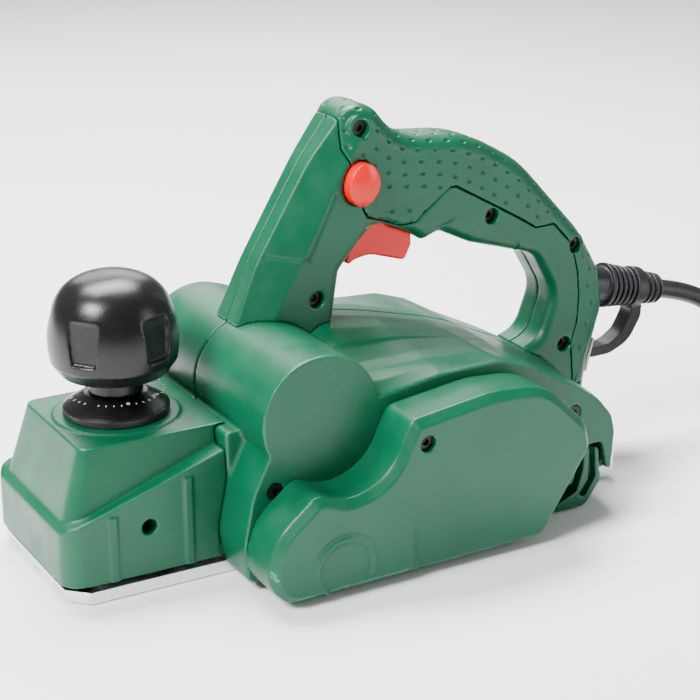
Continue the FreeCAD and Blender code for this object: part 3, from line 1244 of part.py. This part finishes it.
def plug_body():
    """Generic two-pin plug: a tapered grip that widens to the pin face."""
    at = TAIL_ROUTE[-1]
    stations = [(0.0, 6.5, 6.5), (14.0, 7.5, 7.5), (26.0, 12.5, 10.0), (PLUG_LEN, 17.0, 12.0)]
    wires = []
    for s, half_y, half_z in stations:
        r = min(half_y, half_z) * 0.8
        wire = rounded([(-half_y, -half_z, r), (half_y, -half_z, r), (half_y, half_z, r),
                        (-half_y, half_z, r)], "yz")
        wire.translate(V(at.x - s, at.y, at.z))
        wires.append(wire)
    return Part.makeLoft(wires, True, True)


def plug_pins():
    at = TAIL_ROUTE[-1] - V(PLUG_LEN, 0, 0)
    pins = []
    for y in (-9.5, 9.5):
        pin = Part.makeCylinder(2.4, 19.0, V(at.x, at.y + y, at.z), V(-1, 0, 0))
        tip = [e for e in pin.Edges if e.BoundBox.XMax < at.x - 18.9]
        pins.append(pin.makeFillet(1.6, tip))
    return Part.makeCompound(pins)


def fasteners():
    """Screws of the handle, the flange and the sole."""
    handle = []
    for x, z in HANDLE_SCREWS:
        side = -handle_half(x)
        handle.append(pan_screw(side + 6.0 - HEAD_H, -side - 6.0, x, z))
    flange = [pan_screw(Y_FLANGE + 2.8 - HEAD_H, Y_FLANGE + 6.4, x, z) for x, z in FLANGE_SCREWS]
    sole = []
    for x in SOLE_SCREW_X:
        for y in (-SOLE_SCREW_Y, SOLE_SCREW_Y):
            head = turned([(0, 0.4), (4.4, 0.4), (2.55, 2.5), (2.55, 13.0), (0, 13.0)], V(x, y, 0))
            sole.append(head.cut(rod_z(x, y, 1.5, 0.0, 1.8)))
    return Part.makeCompound(handle), Part.makeCompound(flange), Part.makeCompound(sole)


def main():
    handle_screws, flange_screws, sole_screws = fasteners()
    parts = housing_parts()
    parts.update({
        "front_housing": front_housing(),
        "belt_cover": belt_cover(),
        "belt_cover_screw": pan_screw(Y_COVER + 5.0 - HEAD_H, Y_FLANGE + 6.4, *COVER_SCREW),
        "chip_outlet_collar": chip_outlet_collar(),
        "rear_sole": rear_sole(),
        "front_shoe": front_shoe(),
        "depth_knob": depth_knob(),
        "dial_ring": dial_ring(),
        "depth_spindle": depth_spindle(),
        "shoe_spring": shoe_spring(),
        "cutter_drum": cutter_drum(),
        "cutter_blades": cutter_blades(),
        "blade_clamps": blade_clamps(),
        "clamp_screws": clamp_screws(),
        "drum_bearing_near": bearing(X_DRUM, Z_DRUM, CHEEK_NEAR[0], BEARING_12, DRUM_SHAFT_R + 0.02),
        "drum_bearing_far": bearing(X_DRUM, Z_DRUM, CHEEK_FAR[1] - BEARING_FAR["w"], BEARING_FAR, 4.02),
        "drum_pulley": pulley(X_DRUM, Z_DRUM, DRUM_PULLEY_R, DRUM_SHAFT_R, 9.0),
        "drive_belt": drive_belt(),
        "motor_pulley": pulley(X_MOTOR, MOTOR_Z, MOTOR_PULLEY_R, MOTOR_SHAFT_R, 8.0),
        "motor_shaft": motor_shaft(),
        "motor_bearing_near": bearing(X_MOTOR, MOTOR_Z, Y_BEARING_NEAR, MOTOR_BEARING, MOTOR_SHAFT_R + 0.02),
        "motor_bearing_far": bearing(X_MOTOR, MOTOR_Z, Y_BEARING_FAR, MOTOR_BEARING, MOTOR_SHAFT_R + 0.02),
        "armature_core": armature_core(),
        "armature_windings": armature_windings(),
        "commutator": commutator(),
        "cooling_fan": cooling_fan(),
        "motor_stator": motor_stator(),
        "field_coils": field_coils(),
        "carbon_brushes": carbon_brushes(),
        "brush_holders": brush_holders(),
        "switch_body": switch_body(),
        "capacitor": capacitor(),
        "trigger": trigger(),
        "trigger_pin": trigger_pin(),
        "trigger_spring": trigger_spring(),
        "lock_button": lock_button(),
        "parking_rest": parking_rest(),
        "parking_pin": parking_pin(),
        "handle_screws": handle_screws,
        "flange_screws": flange_screws,
        "sole_screws": sole_screws,
        "strain_relief": strain_relief(),
        "cord_loop": cord_loop(),
        "loop_plate": loop_plate(),
        "cord_tube": cord_piece(CORD_ROUTE, "cord"),
        "cord_coil": cord_coil(),
        "cord_tie": cord_tie(),
        "cord_tail": cord_piece(TAIL_ROUTE, "tail"),
        "plug_body": plug_body(),
        "plug_pins": plug_pins(),
    })
    for name, shape in parts.items():
        save(name, shape)


main()
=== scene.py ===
import json
import math

import bmesh
import bpy
import numpy as np
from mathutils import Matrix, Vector


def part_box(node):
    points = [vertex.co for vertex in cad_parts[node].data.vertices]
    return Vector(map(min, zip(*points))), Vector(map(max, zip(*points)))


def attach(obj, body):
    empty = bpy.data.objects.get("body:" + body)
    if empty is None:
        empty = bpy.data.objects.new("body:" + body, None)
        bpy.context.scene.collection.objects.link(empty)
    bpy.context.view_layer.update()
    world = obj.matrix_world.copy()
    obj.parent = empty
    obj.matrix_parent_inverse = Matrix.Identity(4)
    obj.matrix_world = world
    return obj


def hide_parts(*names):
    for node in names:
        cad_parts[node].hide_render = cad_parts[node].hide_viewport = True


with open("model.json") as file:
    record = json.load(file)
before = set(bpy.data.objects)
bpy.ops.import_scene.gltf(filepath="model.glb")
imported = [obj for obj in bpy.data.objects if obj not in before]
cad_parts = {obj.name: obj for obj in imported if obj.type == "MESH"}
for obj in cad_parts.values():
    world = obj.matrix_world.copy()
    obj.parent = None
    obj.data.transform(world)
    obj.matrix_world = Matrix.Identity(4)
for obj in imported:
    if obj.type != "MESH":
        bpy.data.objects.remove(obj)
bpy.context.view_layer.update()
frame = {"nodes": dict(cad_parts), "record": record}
NODES = frame["nodes"]
MM = 0.001

# ---- places, from the frame ---------------------------------------------------------------
DIAL_LO, DIAL_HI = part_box("dial_ring")
SOLE_LO, SOLE_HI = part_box("rear_sole")
GRIP_LO, GRIP_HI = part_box("grip_cover")
X_AXIS = (DIAL_LO.x + DIAL_HI.x) / 2
X_TAIL = SOLE_HI.x
X_DRUM = SOLE_LO.x - 12.5 * MM    # half the mouth's length in front of the rear sole
DIAL_R = (DIAL_HI.x - DIAL_LO.x) / 2


# ---- camera and lamps ------------------------------------------------------------------------
def camera():
    """The camera, at three-quarter view from the front and above."""
    data = bpy.data.cameras.new("camera")
    data.lens = 97.46
    data.sensor_width = 36.0
    data.clip_start = 0.01
    eye = bpy.data.objects.new("camera", data)
    bpy.context.scene.collection.objects.link(eye)
    eye.location = (-0.42158, -0.67585, 0.35243)
    look = Vector((0.4656, 0.8162, -0.3420))
    eye.rotation_euler = look.to_track_quat("-Z", "Y").to_euler()
    bpy.context.scene.camera = eye


def soft_box(name, place, target, size, power):
    """One large soft lamp."""
    data = bpy.data.lights.new(name, "AREA")
    data.shape = "RECTANGLE"
    data.size, data.size_y = size
    data.energy = power
    lamp = bpy.data.objects.new(name, data)
    bpy.context.scene.collection.objects.link(lamp)
    lamp.location = place
    lamp.rotation_euler = (Vector(target) - Vector(place)).to_track_quat("-Z", "Y").to_euler()


def studio():
    """Pale floor, pale surroundings and soft lamps: the main one above and to the left."""
    bm = bmesh.new()
    bmesh.ops.create_grid(bm, x_segments=8, y_segments=8, size=6.0)
    mesh = bpy.data.meshes.new("floor")
    bm.to_mesh(mesh)
    bm.free()
    floor = bpy.data.objects.new("floor", mesh)
    floor.location.z = -0.0005
    bpy.context.scene.collection.objects.link(floor)
    tones = Finish("floor_paper", (0.9, 0.9, 0.9), 0.75)
    tones.mottle(3.0, 0.02)
    tones.grain(600.0, 0.00005)
    floor.data.materials.append(tones.material)
    world = bpy.data.worlds.new("studio")
    world.use_nodes = True
    world.node_tree.nodes["Background"].inputs["Color"].default_value = (1.0, 1.0, 1.0, 1.0)
    world.node_tree.nodes["Background"].inputs["Strength"].default_value = 0.34
    bpy.context.scene.world = world
    middle = (-0.03, 0.0, 0.08)
    soft_box("key", (-0.95, -0.25, 0.95), middle, (0.5, 0.4), 34.0)
    soft_box("top", (0.0, 0.45, 1.1), middle, (0.9, 0.45), 46.0)
    soft_box("side", (0.9, -0.9, 0.4), middle, (0.3, 0.7), 5.0)
    soft_box("back", (0.3, 1.1, 0.7), middle, (0.9, 0.6), 8.0)


# ---- materials --------------------------------------------------------------------------------
class Finish:
    """A procedural material built up from its base colour and roughness."""

    def __init__(self, name, colour, roughness, metallic=0.0):
        self.material = bpy.data.materials.new(name)
        self.material.use_nodes = True
        self.tree = self.material.node_tree
        self.shader = self.tree.nodes["Principled BSDF"]
        self.colour = colour
        self.roughness = roughness
        self.shader.inputs["Base Color"].default_value = (*colour, 1.0)
        self.shader.inputs["Roughness"].default_value = roughness
        self.shader.inputs["Metallic"].default_value = metallic
        self.bump = None
        self.coords = self.node("ShaderNodeTexCoord").outputs["Object"]

    def node(self, kind):
        return self.tree.nodes.new(kind)

    def link(self, a, b):
        self.tree.links.new(a, b)

    def noise(self, scale, detail=3.0, stretch=None):
        """Noise over the object's own coordinates; stretch squeezes it along each axis."""
        source = self.coords
        if stretch:
            mapping = self.node("ShaderNodeMapping")
            mapping.inputs["Scale"].default_value = stretch
            self.link(source, mapping.inputs["Vector"])
            source = mapping.outputs["Vector"]
        noise = self.node("ShaderNodeTexNoise")
        noise.inputs["Scale"].default_value = scale
        noise.inputs["Detail"].default_value = detail
        self.link(source, noise.inputs["Vector"])
        return noise.outputs["Fac"]

    def ramp(self, source, low, high, span=(0.35, 0.65)):
        """A colour ramp between two colours."""
        ramp = self.node("ShaderNodeValToRGB")
        ramp.color_ramp.elements[0].position = span[0]
        ramp.color_ramp.elements[1].position = span[1]
        ramp.color_ramp.elements[0].color = (*low, 1.0)
        ramp.color_ramp.elements[1].color = (*high, 1.0)
        self.link(source, ramp.inputs["Fac"])
        return ramp.outputs["Color"]

    def mottle(self, scale, share, stretch=None):
        """The base colour drifts by this share either way."""
        low = [c * (1.0 - share) for c in self.colour]
        high = [min(1.0, c * (1.0 + share)) for c in self.colour]
        tones = self.ramp(self.noise(scale, 4.0, stretch), low, high)
        self.link(tones, self.shader.inputs["Base Color"])
        return self

    def painted_edge_highlight(self, highlight_colour, span=(0.52, 0.62)):
        """Painted highlight: edges turn slightly brighter, on top of the mottled colour."""
        geometry = self.node("ShaderNodeNewGeometry")
        mix = self.node("ShaderNodeMix")
        mix.data_type = "RGBA"
        # Pointiness picks out the sharp convex edges that take the painted highlight
        mask = self.ramp(geometry.outputs["Pointiness"], (0, 0, 0), (1, 1, 1), span)
        self.link(mask, mix.inputs["Factor"])
        base = self.shader.inputs["Base Color"].links[0].from_socket
        self.link(base, mix.inputs["A"])
        mix.inputs["B"].default_value = (*highlight_colour, 1.0)
        self.link(mix.outputs["Result"], self.shader.inputs["Base Color"])
        return self

    def gloss(self, scale, spread):
        """Roughness varies from place to place."""
        low = max(0.03, self.roughness - spread)
        high = min(1.0, self.roughness + spread)
        tones = self.ramp(self.noise(scale), (low,) * 3, (high,) * 3)
        self.link(tones, self.shader.inputs["Roughness"])
        return self

    def grain(self, scale, height, stretch=None):
        """A bump layer of this height in metres."""
        bump = self.node("ShaderNodeBump")
        bump.inputs["Strength"].default_value = 1.0
        bump.inputs["Distance"].default_value = height
        self.link(self.noise(scale, 3.0, stretch), bump.inputs["Height"])
        return self.stack(bump)

    def stack(self, bump):
        if self.bump:
            self.link(self.bump, bump.inputs["Normal"])
        self.bump = bump.outputs["Normal"]
        self.link(self.bump, self.shader.inputs["Normal"])
        return self

    def soft_edges(self, radius):
        """Edges shade as if broken by this radius; call it before grain()."""
        bevel = self.node("ShaderNodeBevel")
        bevel.samples = 4
        bevel.inputs["Radius"].default_value = radius
        self.bump = bevel.outputs["Normal"]
        self.link(self.bump, self.shader.inputs["Normal"])
        return self


def plastic(name, colour, roughness, edge_highlight_colour=None, edge=0.0004, grain=(1700.0, 0.00006)):
    tones = Finish(name, colour, roughness)
    tones.shader.inputs["Specular IOR Level"].default_value = 0.35
    tones.soft_edges(edge)
    tones.mottle(45.0, 0.07)
    # the optional second colour is painted along sharp edges as a highlight
    if edge_highlight_colour:
        tones.painted_edge_highlight(edge_highlight_colour)
    tones.gloss(90.0, 0.05)
    tones.grain(*grain)
    return tones.material


def metal(name, colour, roughness, stretch=None, height=0.00002, scale=300.0):
    tones = Finish(name, colour, roughness, 1.0)
    tones.soft_edges(0.00025)
    tones.mottle(120.0, 0.08, stretch)
    tones.gloss(60.0, 0.07)
    tones.grain(scale, height, stretch)
    return tones.material


def make_materials():
    """One material for each slot of the record."""
    green = (0.0003, 0.078, 0.034)
    # pale and the second colour of every plastic below are painted edge highlights, brighter than the
    # base colour
    pale = (0.02, 0.22, 0.12)
    return {
        "green_plastic": plastic("green_plastic", green, 0.36, pale, 0.0005, (1500.0, 0.00009)),
        "red_plastic": plastic("red_plastic", (0.72, 0.0006, 0.001), 0.24, (0.85, 0.01, 0.01),
                               grain=(900.0, 0.00002)),
        "black_plastic": plastic("black_plastic", (0.0045, 0.0045, 0.005), 0.27, (0.02, 0.02, 0.02)),
        "grey_plastic": plastic("grey_plastic", (0.36, 0.37, 0.38), 0.4, (0.5, 0.5, 0.5)),
        "sole_aluminium": metal("sole_aluminium", (0.78, 0.79, 0.80), 0.32, (8.0, 120.0, 120.0)),
        "drum_aluminium": metal("drum_aluminium", (0.60, 0.61, 0.62), 0.3, (90.0, 4.0, 90.0)),
        "steel": metal("steel", (0.50, 0.50, 0.51), 0.28, (60.0, 8.0, 60.0)),
        "carbide": metal("carbide", (0.34, 0.34, 0.36), 0.22, (6.0, 140.0, 140.0)),
        "dark_screw": metal("dark_screw", (0.035, 0.035, 0.037), 0.4),
        "lamination": metal("lamination", (0.20, 0.20, 0.21), 0.5, (4.0, 400.0, 4.0), 0.0001, 30.0),
        "copper": metal("copper", (0.72, 0.30, 0.12), 0.35, (200.0, 20.0, 200.0), 0.0002, 40.0),
        "brass_parts": metal("brass_parts", (0.70, 0.50, 0.20), 0.33),
        "carbon": plastic("carbon", (0.02, 0.02, 0.02), 0.6, (0.05, 0.05, 0.05)),
        "yellow_film": plastic("yellow_film", (0.70, 0.50, 0.05), 0.3, (0.8, 0.65, 0.2)),
        "belt_rubber": plastic("belt_rubber", (0.018, 0.018, 0.018), 0.7, (0.04, 0.04, 0.04)),
        "cord_rubber": plastic("cord_rubber", (0.010, 0.011, 0.013), 0.38, (0.03, 0.03, 0.034),
                               0.0004, (2400.0, 0.00005)),
        "pin_metal": metal("pin_metal", (0.8, 0.8, 0.8), 0.2, (8.0, 90.0, 90.0)),
    }


# ---- meshes ---------------------------------------------------------------------------------
def flattened(obj):
    """obj's mesh with its modifiers applied."""
    graph = bpy.context.evaluated_depsgraph_get()
    mesh = bpy.data.meshes.new_from_object(obj.evaluated_get(graph), depsgraph=graph)
    if obj.type == "MESH":
        obj.modifiers.clear()
        obj.data = mesh
    return mesh


def smooth_shaded(mesh):
    mesh.polygons.foreach_set("use_smooth", [True] * len(mesh.polygons))


def moulded(node, voxel, rounds=4):
    """A CAD node remade as one even, soft-edged moulding that can take fine relief."""
    obj = bpy.data.objects.new(node + "_moulding", NODES[node].data.copy())
    bpy.context.scene.collection.objects.link(obj)
    bm = bmesh.new()
    bm.from_mesh(obj.data)
    bmesh.ops.remove_doubles(bm, verts=bm.verts, dist=1e-6)
    bm.to_mesh(obj.data)
    bm.free()
    even = obj.modifiers.new("even", "REMESH")
    even.mode = "VOXEL"
    even.voxel_size = voxel
    soft = obj.modifiers.new("soft", "SMOOTH")
    soft.factor = 0.5
    soft.iterations = rounds
    smooth_shaded(flattened(obj))
    obj.data.materials.clear()
    return obj


def mesh_points(mesh):
    co = np.zeros(len(mesh.vertices) * 3, np.float32)
    mesh.vertices.foreach_get("co", co)
    no = np.zeros(len(mesh.vertices) * 3, np.float32)
    mesh.vertices.foreach_get("normal", no)
    return co.reshape(-1, 3).astype(float), no.reshape(-1, 3).astype(float)


def push(mesh, amount):
    """Each vertex moves along its normal by its amount, in metres."""
    co, no = mesh_points(mesh)
    mesh.vertices.foreach_set("co", (co + no * amount[:, None]).astype(np.float32).ravel())
    mesh.update()


def line_distance(points, line):
    """Each 2-D point's distance from an open line."""
    best = np.full(len(points), 1e9)
    for a, b in zip(line, line[1:]):
        a = np.array(a) * MM
        b = np.array(b) * MM
        along = b - a
        t = np.clip(((points - a) @ along) / (along @ along), 0, 1)
        best = np.minimum(best, np.linalg.norm(points - a - t[:, None] * along, axis=1))
    return best


def score(mesh, line, half_width, depth, side):
    """A groove along a line drawn on the side view, cut only on faces that look to that side."""
    co, no = mesh_points(mesh)
    far = line_distance(co[:, [0, 2]], line)
    shape = np.clip(1.0 - far / half_width, 0, 1)
    shape = shape * shape * (3 - 2 * shape)
    facing = no[:, 1] * side > 0.35
    outside = co[:, 1] * side > 8 * MM
    push(mesh, -depth * shape * (facing & outside))


def grip_seam():
    """Where the grip cover meets the handle, on the side view, in millimetres."""
    drum = X_DRUM / MM
    tail = X_TAIL / MM
    seam = [(drum + 44.5, 163.0), (drum + 50.0, 152.0), (drum + 53.7, 137.0), (drum + 56.0, 133.2)]
    seam += [(drum + 73.0, 126.9), (drum + 79.5, 127.6), (drum + 97.0, 140.3), (drum + 100.5, 140.4)]
    seam += [(tail - 39.5, 122.7), (tail - 27.5, 115.4), (tail - 17.5, 115.7), (tail - 7.0, 104.5)]
    return seam + [(tail - 3.2, 90.5), (tail - 2.0, 78.4), (tail - 2.6, 66.4)]


def arc(x, z, radius, start, end):
    """Points along an arc on the side view, in millimetres; angles in degrees from +X towards +Z."""
    turns = [math.radians(start + (end - start) * i / 16) for i in range(17)]
    return [(x + radius * math.cos(t), z + radius * math.sin(t)) for t in turns]


def dimple(mesh):
    """Staggered rows of small hollows wrapped round the grip."""
    co, no = mesh_points(mesh)
    start = np.array([GRIP_LO.x, GRIP_HI.z])
    along = np.array([0.80, -0.60])   # down the slope of the grip
    up = np.array([0.60, 0.80])
    slice_len = 3 * MM
    flat = co[:, [0, 2]] - start
    u = flat @ along
    v = flat @ up
    bins = np.floor(u / slice_len).astype(int)
    bins -= bins.min()
    crown = np.full(bins.max() + 1, -1e9)
    np.maximum.at(crown, bins, v)
    smooth = np.convolve(np.pad(crown, 2, "edge"), np.ones(5) / 5, "valid")
    place = np.clip(u / slice_len - np.floor(u.min() / slice_len) - 0.5, 0, len(smooth) - 1)
    depth_below = np.interp(place, np.arange(len(smooth)), smooth) - v
    half = np.abs(co[:, 1]).max()
    corner = 9 * MM                   # the handle's rounded outer edge
    y = np.abs(co[:, 1])
    round_part = np.arctan2(np.maximum(y - (half - corner), 0), np.maximum(corner - depth_below, 1e-6))
    below = np.maximum(depth_below - corner, 0)
    on_top = np.minimum(y, half - corner)
    wrapped = np.where(y < half - corner, y, on_top + corner * round_part + below)
    wrapped = wrapped * np.sign(co[:, 1])
    row_gap = 6.1 * MM
    column_gap = 7.7 * MM
    row = np.round(wrapped / row_gap)
    shift = 0.5 * column_gap * (np.mod(row, 2))
    column = np.round((u - shift) / column_gap)
    du = u - shift - column * column_gap
    dv = wrapped - row * row_gap
    far = np.sqrt((du / 1.45) ** 2 + (dv / 1.25) ** 2) / MM
    shape = np.clip(1 - far, 0, 1)
    shape = shape * shape * (3 - 2 * shape)
    rim = np.exp(-((far - 1.3) / 0.3) ** 2)
    outer = (no[:, 0] * up[0] + no[:, 2] * up[1] > -0.25) | (np.abs(no[:, 1]) > 0.6)
    behind_screw = co[:, 0] > X_DRUM + 58.5 * MM
    zone = outer & behind_screw & (line_distance(co[:, [0, 2]], grip_seam()) > 3.2 * MM)
    push(mesh, (0.05 * MM * rim - 0.95 * MM * shape) * zone)


def put(obj, body, slot_name, *nodes):
    obj.data.materials.append(MATERIALS[slot_name])
    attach(obj, body)
    if nodes:
        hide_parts(*nodes)
    return obj


# ---- the moulded green pieces -----------------------------------------------------------------
def mouldings():
    """The green housing pieces, remoulded; the grip, handles and belt cover get their own relief."""
    grip = moulded("grip_cover", 0.45 * MM, 6)
    dimple(grip.data)
    put(grip, "planer", "green_plastic", "grip_cover")

    for name, side in (("handle_left", -1), ("handle_right", 1)):
        handle = moulded(name, 0.6 * MM, 5)
        column_panel = [(-94.6, 132.4), (-87.1, 122.0), (-64.8, 118.5), (-51.5, 145.4)]
        lower_inset = [(-1.4, 123.1), (7.7, 126.7), (41.6, 111.1), (42.5, 108.4), (41.8, 105.3)]
        for line in (column_panel, lower_inset):
            score(handle.data, line, 0.9 * MM, 0.6 * MM, side)
        put(handle, "planer", "green_plastic", name)

    for name in ("housing_left", "housing_right"):
        shell = moulded(name, 0.75 * MM, 4)
        put(shell, "planer", "green_plastic", name)

    for name in ("front_housing", "chip_outlet_collar"):
        put(moulded(name, 0.6 * MM, 4), "planer", "green_plastic", name)
    cover = moulded("belt_cover", 0.45 * MM, 4)
    hub = (-87.0, 13.4)               # middle of the turning arrow's ring
    label = [(-53.5, 19.9), (-54.2, 14.0), (-52.6, 8.0), (-49.5, 1.0)]
    score(cover.data, label, 0.7 * MM, 0.35 * MM, -1)
    score(cover.data, arc(*hub, 15.2, -25.0, 150.0), 0.6 * MM, 0.4 * MM, -1)
    score(cover.data, arc(*hub, 10.9, -45.0, 235.0), 0.6 * MM, 0.3 * MM, -1)
    score(cover.data, [(-87.9, 1.2), (-87.9, 6.1)], 0.7 * MM, 0.4 * MM, -1)
    put(cover, "planer", "green_plastic", "belt_cover")
    put(moulded("parking_rest", 0.4 * MM, 3), "rest", "green_plastic", "parking_rest")


def controls():
    """Knob, trigger and lock button."""
    put(moulded("depth_knob", 0.5 * MM, 6), "adjuster", "black_plastic", "depth_knob")
    put(moulded("trigger", 0.4 * MM, 5), "trigger", "red_plastic", "trigger")
    put(moulded("lock_button", 0.35 * MM, 6), "lock", "red_plastic", "lock_button")
    put(moulded("strain_relief", 0.4 * MM, 3), "planer", "cord_rubber", "strain_relief")
    put(moulded("cord_loop", 0.4 * MM, 3), "planer", "cord_rubber", "cord_loop")
    put(moulded("plug_body", 0.5 * MM, 5), "planer", "cord_rubber", "plug_body")


# ---- the depth scale ----------------------------------------------------------------------------
SCALE_ZERO = math.radians(-97.0)  # where the scale's zero stands round the knob's axis


def lettering(name, text, size, radius, angle, z, material):
    """Thin raised digits on the dial's flat, read from outside it."""
    data = bpy.data.curves.new(name, "FONT")
    data.body = text
    data.size = size
    data.align_x = "CENTER"
    data.align_y = "CENTER"
    data.extrude = 0.00006
    obj = bpy.data.objects.new(name, data)
    bpy.context.scene.collection.objects.link(obj)
    obj.location = (X_AXIS + radius * math.cos(angle), radius * math.sin(angle), z)
    obj.rotation_euler = (0, 0, angle + math.pi / 2)
    bpy.context.view_layer.update()
    mesh = flattened(obj)
    solid = bpy.data.objects.new(name + "_mark", mesh)
    bpy.context.scene.collection.objects.link(solid)
    solid.matrix_world = obj.matrix_world.copy()
    bpy.data.objects.remove(obj)
    mesh.materials.clear()
    mesh.materials.append(material)
    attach(solid, "adjuster")


def ticks(material):
    """Short marks between the dial's numbers."""
    bm = bmesh.new()
    z = DIAL_HI.z
    for i in range(40):
        if i % 5 == 0:
            continue
        angle = SCALE_ZERO + math.radians(9.0 * i)
        along = Vector((math.cos(angle), math.sin(angle), 0))
        across = Vector((-math.sin(angle), math.cos(angle), 0))
        inner = DIAL_R - 2.9 * MM
        outer = DIAL_R - 1.6 * MM
        corners = []
        for height in (-0.05 * MM, 0.06 * MM):
            for r, s in ((inner, -1), (inner, 1), (outer, 1), (outer, -1)):
                spot = Vector((X_AXIS, 0, z + height)) + along * r + across * (s * 0.16 * MM)
                corners.append(bm.verts.new(spot))
        bm.faces.new(corners[3::-1])
        bm.faces.new(corners[4:])
        for k in range(4):
            n = (k + 1) % 4
            bm.faces.new((corners[k], corners[n], corners[n + 4], corners[k + 4]))
    mesh = bpy.data.meshes.new("dial_ticks")
    bm.to_mesh(mesh)
    bm.free()
    mesh.materials.append(material)
    obj = bpy.data.objects.new("dial_ticks", mesh)
    bpy.context.scene.collection.objects.link(obj)
    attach(obj, "adjuster")


def depth_scale():
    """Pad-printed white scale on the dial ring."""
    white = (0.82, 0.82, 0.80)
    # the second colour is the painted edge highlight
    paint = plastic("scale_paint", white, 0.5, (0.9, 0.9, 0.9), 0.00005, (3000.0, 0.00001))
    z = DIAL_HI.z
    for i, text in enumerate(("0", "0.5", "1", "1.5")):
        angle = SCALE_ZERO + math.radians(45.0 * i)
        name = "dial_" + text.replace(".", "_")
        lettering(name, text, 3.1 * MM, DIAL_R - 3.6 * MM, angle, z, paint)
    ticks(paint)


# ---- the cord -------------------------------------------------------------------------------------
CORD_R = 4.5 * MM
EXIT = (94.7, 0.0, 78.4)          # where the sleeve's flange leaves the handle
CORD_TILT = math.radians(12.0)
SLEEVE = 37.0
COIL_STEPS = 16                   # points in each turn
COIL_RINGS = [                    # radius and height of each turn, from the top one down to the tail
    (54.2, 23.4),
    (43.9, 23.4),
    (49.05, 14.5),
    (43.9, 5.6),
    (54.2, 5.6),
    (59.35, 14.5),
    (64.5, 5.6),
]
COIL_AT = (230.0, -54.2)
NURBS_SHRINK = 0.981              # the spline runs this much inside a ring of control points
RING_TURN = 335.0                 # degrees from one hop between rings to the next
HOP = 45.0                        # degrees that a hop takes


def coil_points():
    """Control points of the coil's turns, clockwise from above, from the handle's side to the plug's."""
    total = 180.0 + 360.0 * (len(COIL_RINGS) - 1)
    step = 360.0 / COIL_STEPS
    points = []
    angle = step
    while angle < total - step / 2:
        ring = min(int(angle / RING_TURN), len(COIL_RINGS) - 1)
        share = 0.0
        into = angle - ring * RING_TURN
        if ring < len(COIL_RINGS) - 1:
            share = min(max((into - RING_TURN + HOP) / HOP, 0.0), 1.0)
        share = share * share * (3 - 2 * share)
        here = COIL_RINGS[ring]
        after = COIL_RINGS[min(ring + 1, len(COIL_RINGS) - 1)]
        radius = (here[0] + (after[0] - here[0]) * share) / NURBS_SHRINK
        height = here[1] + (after[1] - here[1]) * share
        turn = math.radians(90.0 - angle)
        x = COIL_AT[0] + radius * math.cos(turn)
        y = COIL_AT[1] + radius * math.sin(turn)
        points.append((x, y, height))
        angle += step
    return points


def cord():
    """The mains cord: from the sleeve over the floor into its coil, and on to the plug."""
    way = (math.cos(CORD_TILT), 0.0, -math.sin(CORD_TILT))
    sleeve_end = [e + w * SLEEVE for e, w in zip(EXIT, way)]
    route = [
        sleeve_end,
        [e + w * 19.5 for e, w in zip(sleeve_end, way)],
        (171.0, 0.3, 54.6),
        (188.0, 0.7, 40.4),
        (208.5, 0.4, 28.3),
        (230.5, 0.4, 24.1),
    ]
    route += coil_points()
    route += [
        (232.0, -119.2, 5.8),
        (214.0, -119.5, 6.6),
        (198.0, -121.7, 9.2),
        (184.5, -122.8, 12.6),
        (171.0, -122.8, 12.6),
    ]
    data = bpy.data.curves.new("mains_cord", "CURVE")
    data.dimensions = "3D"
    data.bevel_depth = CORD_R
    data.bevel_resolution = 5
    data.resolution_u = 8
    data.use_fill_caps = True
    spline = data.splines.new("NURBS")
    spline.points.add(len(route) - 1)
    for point, spot in zip(spline.points, route):
        point.co = (*(c * MM for c in spot), 1.0)
    spline.order_u = 3
    spline.use_endpoint_u = True
    obj = bpy.data.objects.new("mains_cord", data)
    bpy.context.scene.collection.objects.link(obj)
    put(obj, "planer", "cord_rubber", "cord_tube", "cord_coil", "cord_tail")


def carried_over():
    """Every CAD node that still shows takes the material of its own slot."""
    slots = {part["node"]: part["material_slot"] for part in frame["record"]["subparts"]}
    for name, obj in NODES.items():
        obj.data.materials.clear()
        obj.data.materials.append(MATERIALS[slots[name]])


camera()
studio()
MATERIALS = make_materials()
carried_over()
mouldings()
controls()
depth_scale()
cord()
